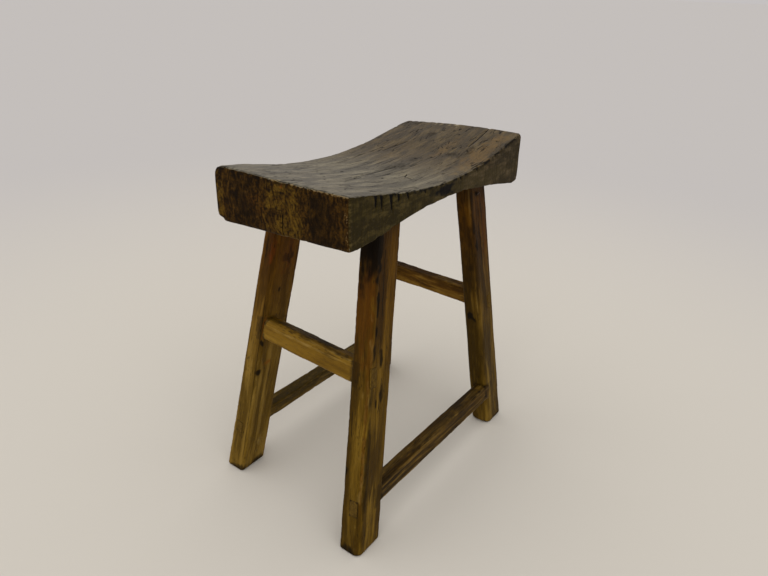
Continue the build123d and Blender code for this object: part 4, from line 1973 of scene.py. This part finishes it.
@dataclass
class Stool:
    """The whole stool.

    Attributes:
        near_left: Where the near left leg stands.
        near_right: Where the near right leg stands.
        far_right: Where the far right leg stands.
        far_left: Where the far left leg stands.
        leg_wood: Wood of the legs, before their own tones; its deep darkens their heads, partly in the
            wood's tone and partly as painted shade under the seat.
    """

    near_left: LegPlan = LegPlan(-1, 1, PLAN.splay_near_left)
    near_right: LegPlan = LegPlan(-1, -1, PLAN.splay_near_right)
    far_right: LegPlan = LegPlan(1, -1, PLAN.splay_far_right)
    far_left: LegPlan = LegPlan(1, 1, PLAN.splay_far_left)
    # Its deep darkens the heads, partly as painted shade under the seat.
    leg_wood: LongGrain = LongGrain(
        "far_left_wood", tints((68, 49, 6), (102, 76, 22), (124, 97, 38)), tint(124, 70, 10),
        tint(148, 122, 66), deep=tint(188, 156, 76), deep_reach=(0.14, 0.42), stretch=4.5, figure=56.0,
        streaks=0.4, mottling=0.5, pattern=4.1)

    def near_left_leg(self) -> Leg:
        """The near left leg, with its cut outer edge and a knot.

        Returns:
            The leg.
        """
        # Its deep darkens its head, partly as painted shade under the seat.
        wood = replace(
            self.leg_wood, name="near_left_wood", deep=tint(204, 168, 80), pattern=0.4,
            tones=tints((82, 60, 9), (113, 86, 26), (131, 103, 42)))
        marks = (
            *marked(
                Stain.HONEY,
                ((0.368, -0.025, -0.006), (0.03, 0.008, 0.006), 0.9),
                ((0.36, 0.0, -0.016), (0.05, 0.02, 0.006), 0.5),
                ((0.19, -0.006, -0.016), (0.004, 0.01, 0.006), 0.7),
                ((0.255, -0.0215, -0.012), (0.022, 0.004, 0.005), 0.9)),
            *marked(
                Stain.DARK,
                ((0.372, -0.025, 0.004), (0.024, 0.006, 0.003), 0.8),
                ((0.356, -0.002, -0.014), (0.012, 0.016, 0.006), 0.6, 0.9),
                ((0.309, -0.005, -0.014), (0.005, 0.0035, 0.006), 0.9),
                ((0.225, -0.0215, -0.013), (0.008, 0.005, 0.005), 1.0, 0.6),
                ((0.179, -0.0215, -0.0135), (0.0065, 0.006, 0.006), 1.0, 0.15),
                ((0.06, -0.012, -0.015), (0.02, 0.006, 0.006), 0.4, 0.8),
                # A painted contact shadow just over the near end rail, where it meets the leg.
                ((0.2615, -0.0135, -0.0145), (0.005, 0.018, 0.006), 1.0, 0.3)),
            *marked(Stain.PALE, ((0.04, 0.004, -0.017), (0.016, 0.014, 0.006), 0.5, 0.8)),
            # A light line down the cut edge: painted highlight.
            *marked(Stain.WORN_AND_SHEEN, ((0.13, -0.0228, -0.0135), (0.16, 0.0035, 0.0035), 0.35, 0.15)))
        cracks = cracked(Side.ACROSS_LOW, (((0.03, -0.0132), (0.18, -0.0109), (0.3, -0.0083)), 0.0006))
        return Leg(
            "leg_near_left", 21, wood, marks=marks, cracks=cracks, plan=self.near_left,
            corners=(0.003,) * 4, head_corner=0.0085, bevel=(1.0, 0.0, 0.0, 0.0))

    def near_right_leg(self) -> Leg:
        """The near right leg, black at its head, a stain made blacker as painted shade, and dark along its
        right.

        Returns:
            The leg.
        """
        # Its near-black darkening colour serves its stains and the painted shade at its head; its deep
        # darkens its head, partly as painted shade under the seat.
        wood = replace(
            self.leg_wood, name="near_right_wood", honey=tint(92, 57, 4), darkening=tint(7, 4, 1),
            deep=tint(226, 206, 150), pattern=1.7, tones=tints((62, 43, 2), (95, 70, 12), (119, 91, 26)))
        marks = (
            *marked(
                Stain.DARK,
                # The black head: a stain, made blacker as painted shade under the seat.
                ((0.44, -0.024, 0.0), (0.07, 0.02, 0.04), 1.0, 0.15),
                ((0.4, -0.02, 0.006), (0.06, 0.012, 0.008), 1.0, 0.2),
                ((0.42, -0.018, -0.012), (0.05, 0.007, 0.006), 1.0, 0.5),
                ((0.32, -0.0145, -0.014), (0.055, 0.003, 0.005), 0.8, 0.7),
                ((0.278, 0.001, -0.0145), (0.014, 0.004, 0.005), 0.75, 1.0),
                ((0.221, 0.006, -0.015), (0.011, 0.005, 0.005), 0.8, 1.0),
                ((0.211, -0.005, -0.015), (0.006, 0.003, 0.005), 0.8, 0.9),
                ((0.13, -0.0155, -0.0145), (0.14, 0.0055, 0.004), 0.62, 0.5),
                ((0.114, -0.024, 0.012), (0.009, 0.006, 0.004), 0.85)),
            *marked(
                Stain.HONEY,
                ((0.34, -0.025, 0.0), (0.07, 0.008, 0.02), 0.95),
                ((0.3, -0.022, -0.011), (0.08, 0.005, 0.005), 0.8),
                ((0.19, -0.0232, -0.0128), (0.16, 0.0032, 0.003), 0.9)),
            # A pale strip along the round corner: painted sheen.
            *marked(Stain.PALE, ((0.2, -0.019, -0.01), (0.22, 0.006, 0.006), 0.45, 0.7)))
        cracks = (
            *cracked(
                Side.THROUGH_LOW,
                (((0.41, -0.006), (0.33, -0.004)), 0.0014),
                (((0.24, 0.004), (0.2, 0.001)), 0.0012)),
            *cracked(Side.ACROSS_LOW, (((0.2, 0.008), (0.17, 0.007)), 0.0012)))
        return Leg(
            "leg_near_right", 22, wood, marks=marks, cracks=cracks, plan=self.near_right,
            corners=(0.009, 0.0035, 0.0035, 0.0035), head_corner=0.006, bevel=(0.25, 0.0, 0.0, 0.0))

    def far_right_leg(self) -> Leg:
        """The far right leg, rounder than the others, with the nail in its head.

        Returns:
            The leg.
        """
        # Its deep darkens its head, partly as painted shade under the seat.
        wood = replace(
            self.leg_wood, name="far_right_wood", honey=tint(102, 66, 6), deep=tint(200, 170, 96),
            pattern=2.9, tones=tints((58, 41, 4), (94, 70, 17), (118, 92, 33)))
        marks = (
            *marked(
                Stain.DARK,
                ((0.4, -0.019, -0.0125), (0.07, 0.006, 0.005), 0.6, 0.4),
                ((0.37, -0.003, -0.013), (0.07, 0.004, 0.006), 0.65, 0.7),
                ((0.351, -0.015, -0.013), (0.011, 0.004, 0.005), 0.9),
                ((0.217, -0.022, -0.003), (0.016, 0.006, 0.01), 0.95, 0.8),
                ((0.43, -0.002, -0.013), (0.006, 0.006, 0.006), 0.9),
                ((0.35, -0.025, 0.0), (0.09, 0.006, 0.012), 0.5, 0.8)),
            *marked(Stain.HONEY, ((0.375, 0.01, -0.015), (0.06, 0.009, 0.008), 0.85)),
            *marked(Stain.PALE, ((0.245, 0.013, -0.014), (0.016, 0.006, 0.005), 0.5, 0.6)))
        cracks = cracked(
            Side.THROUGH_LOW,
            (((0.29, -0.0105), (0.245, -0.009)), 0.0012),
            (((0.345, 0.004), (0.31, 0.005)), 0.0012),
            (((0.046, 0.006), (0.038, 0.006)), 0.0012))
        return Leg(
            "leg_far_right", 23, wood, marks=marks, cracks=cracks, plan=self.far_right,
            corners=(0.011, 0.006, 0.006, 0.006), head_corner=0.009, foot_round=0.0055)

    def legs(self) -> list[Leg]:
        """All four legs, the mostly hidden far left one without marks of its own.

        Returns:
            The legs.
        """
        far_left = Leg("leg_far_left", 24, self.leg_wood, plan=self.far_left,
                       corners=(0.004, 0.005, 0.005, 0.005), head_corner=0.004)
        return [self.near_left_leg(), self.near_right_leg(), self.far_right_leg(), far_left]

    def end_rails(self) -> list[Rail]:
        """The two high rails under the seat's ends.

        Returns:
            The near and the far one.
        """
        near_wood = LongGrain(
            "near_end_rail_wood", tints((98, 70, 10), (122, 90, 20), (134, 102, 30)), tint(130, 88, 22),
            tint(160, 134, 76), roughness=0.5, gloss=0.09, stretch=5.0, streaks=0.6, mottling=0.4,
            pattern=5.2)
        far_wood = LongGrain(
            "far_end_rail_wood", tints((70, 44, 5), (106, 72, 16), (132, 98, 36)), tint(108, 66, 18),
            tint(130, 102, 54), gloss=0.07, streaks=0.55, mottling=0.55, pattern=6.1)
        near_marks = (
            *marked(Stain.DARK, ((0.09, -0.001, 0.015), (0.12, 0.012, 0.0065), 0.72, 0.3)),
            # A light line along the upper outer arris: painted highlight.
            *marked(Stain.WORN_AND_SHEEN, ((0.09, 0.0112, 0.007), (0.11, 0.003, 0.002), 0.6, 0.3)))
        far_marks = marked(Stain.DARK, ((0.1, 0.0, 0.015), (0.12, 0.012, 0.004), 0.5, 0.6))
        return [
            Rail("end_rail_near", 31, near_wood, "end_rail_wood", near_marks,
                 legs=(self.near_left, self.near_right), outward=(-1.0, 0.0, 0.0), top=0.267,
                 deep=0.0325, arris=0.005, worn_arris=0.0095),
            Rail("end_rail_far", 32, far_wood, "end_rail_wood", far_marks,
                 legs=(self.far_left, self.far_right), outward=(1.0, 0.0, 0.0), top=0.2555,
                 deep=0.0295, arris=0.005, worn_arris=0.006)]

    def side_rails(self) -> list[Rail]:
        """The two low rails along the sides.

        Returns:
            The left and the right one.
        """
        left_wood = LongGrain(
            "left_side_rail_wood", tints((56, 42, 6), (88, 66, 16), (106, 82, 30)), tint(84, 60, 20),
            tint(116, 94, 56), gloss=0.07, pattern=7.3)
        right_wood = LongGrain(
            "right_side_rail_wood", tints((38, 25, 3), (77, 54, 10), (108, 82, 32)), tint(90, 58, 16),
            tint(134, 108, 60), stretch=3.0, figure=110.0, streaks=1.5, mottling=0.4, fissures=1.0,
            pattern=8.8)
        right_marks = (
            *marked(
                Stain.DARK,
                ((0.18, 0.004, 0.014), (0.2, 0.012, 0.005), 0.5, 0.5),
                ((0.16, 0.011, 0.001), (0.17, 0.004, 0.0016), 0.6, 0.5)),
            *marked(Stain.WORN_AND_SHEEN, ((0.2, 0.011, -0.012), (0.2, 0.004, 0.003), 0.6, 0.5)))
        return [
            Rail("side_rail_left", 33, left_wood, "side_rail_wood",
                 legs=(self.near_left, self.far_left), top=0.0895, deep=0.0235),
            Rail("side_rail_right", 34, right_wood, "side_rail_wood", right_marks,
                 legs=(self.near_right, self.far_right), outward=(0.0, -1.0, 0.0), top=0.083,
                 deep=0.028, stand=0.002, lap=0.011)]

    def build(self) -> None:
        """Build every piece, the legs knowing the rails that meet them."""
        rails = self.end_rails() + self.side_rails()
        legs = self.legs()
        for leg in legs:
            leg.rails = [rail for rail in rails if leg.plan in rail.legs]
        for piece in (Seat(), *legs, *rails, Nail()):
            piece.build()


@dataclass(frozen=True)
class Studio:
    """Floor, light and camera.

    Angles are in degrees, azimuth from +Y and elevation over the horizon. The camera's stand is from
    the middle of the seat's plan, its film's width is in millimetres, and focal_share is of that
    width. A lamp has a name, the direction that it shines from and a strength.
    """

    azimuth: float = -55.043
    elevation: float = 25.416
    roll: float = 2.488
    stand: Triple = (-0.7254, -0.51451, 0.70729)
    film_width: float = 36.0
    focal_share: float = 635.29 / 768
    view_reach: float = 1000.0
    floor_half: float = 300.0
    floor_colour: Colour = tint(211, 205, 196)
    far_colour: Colour = tint(197, 193, 192)
    floor_fade: Pair = (0.4, 2.2)
    floor_roughness: float = 0.8
    wall_colour: Colour = tint(196, 192, 191)
    sky: float = 0.77
    sky_colour: Colour = tint(255, 253, 249)
    sun_angle: float = 80.0
    lamps: tuple[tuple[str, Triple, float], ...] = (
        ("ceiling_light", (-0.15, 0.15, 1.0), 0.1),
        ("window_light", (-0.6, 0.6, 0.9), 0.38),
        ("room_light", (-0.6, -0.7, 0.7), 0.52))

    def camera(self) -> None:
        """Make the camera and set it as the scene's."""
        turn, rise, roll = (math.radians(angle) for angle in (self.azimuth, self.elevation, self.roll))
        back = Vector((math.sin(turn) * math.cos(rise), -math.cos(turn) * math.cos(rise), math.sin(rise)))
        right = Vector((math.cos(turn), math.sin(turn), 0.0))
        up = back.cross(right)
        axes = Matrix((right * math.cos(roll) + up * math.sin(roll),
                       up * math.cos(roll) - right * math.sin(roll), back)).transposed().to_4x4()
        data = bpy.data.cameras.new("camera")
        data.sensor_width = self.film_width
        data.lens = self.film_width * self.focal_share
        data.clip_end = self.view_reach
        camera = bpy.data.objects.new("camera", data)
        bpy.context.scene.collection.objects.link(camera)
        stand = Vector(self.stand) + Vector((PLAN.seat_middle, 0.0, 0.0))
        camera.matrix_world = Matrix.Translation(stand) @ axes
        bpy.context.scene.camera = camera

    def floor_paint(self) -> bpy.types.Material:
        """Make the floor's plain colour, a little greyer far from the stool.

        Returns:
            The material.
        """
        paint = Paint(bpy.data.materials.new("floor"))
        place = paint.add("ShaderNodeTexCoord", {}, {}, "Object")
        away = paint.add("ShaderNodeVectorMath", {"operation": "LENGTH"}, {0: place}, "Value")
        colour = paint.mix(away.rise(*self.floor_fade), self.floor_colour, self.far_colour)
        return paint.surface(colour, self.floor_roughness, None, {"Specular IOR Level": 0.0})

    def floor(self) -> None:
        """Make the plain pale floor."""
        half = self.floor_half
        mesh = bpy.data.meshes.new("floor")
        corners = [(-half, -half, 0.0), (half, -half, 0.0), (half, half, 0.0), (-half, half, 0.0)]
        mesh.from_pydata(corners, [], [(0, 1, 2, 3)])
        mesh.materials.append(self.floor_paint())
        floor = bpy.data.objects.new("floor", mesh)
        bpy.context.scene.collection.objects.link(floor)

    def lamp(self, name: str, towards: Triple, strength: float) -> None:
        """Hang a wide, distant lamp.

        Args:
            name: Its name.
            towards: The direction that it shines from.
            strength: How strong it is.
        """
        data = bpy.data.lights.new(name, "SUN")
        data.angle = math.radians(self.sun_angle)
        data.energy = strength
        lamp = bpy.data.objects.new(name, data)
        lamp.rotation_euler = Vector(towards).to_track_quat("Z", "Y").to_euler()
        bpy.context.scene.collection.objects.link(lamp)

    def world(self) -> None:
        """Light the stool evenly from all round, and show the wall's colour behind it."""
        paint = Paint(bpy.data.worlds.new("studio"))
        bpy.context.scene.world = paint.owner
        light = paint.add("ShaderNodeBackground", {}, {"Color": self.sky_colour, "Strength": self.sky})
        backdrop = paint.add("ShaderNodeBackground", {}, {"Color": self.wall_colour})
        camera, glossy, through = [paint.add("ShaderNodeLightPath", {}, {}, f"Is {kind} Ray")
                                   for kind in ("Camera", "Glossy", "Transmission")]
        seen = camera.larger(glossy).larger(through)
        mixed = paint.add("ShaderNodeMixShader", {}, {0: seen, 1: light, 2: backdrop})
        paint.add("ShaderNodeOutputWorld", {}, {"Surface": mixed})

    def build(self) -> None:
        """Build floor, light and camera."""
        self.floor()
        self.world()
        for name, towards, strength in self.lamps:
            self.lamp(name, towards, strength)
        self.camera()
        bpy.context.scene.view_settings.view_transform = "Standard"


def main() -> None:
    """Build the stool and its studio."""
    logging.basicConfig(level=logging.INFO, format="%(name)s %(message)s")
    Stool().build()
    Studio().build()
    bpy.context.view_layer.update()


if __name__ == "__main__":
    main()
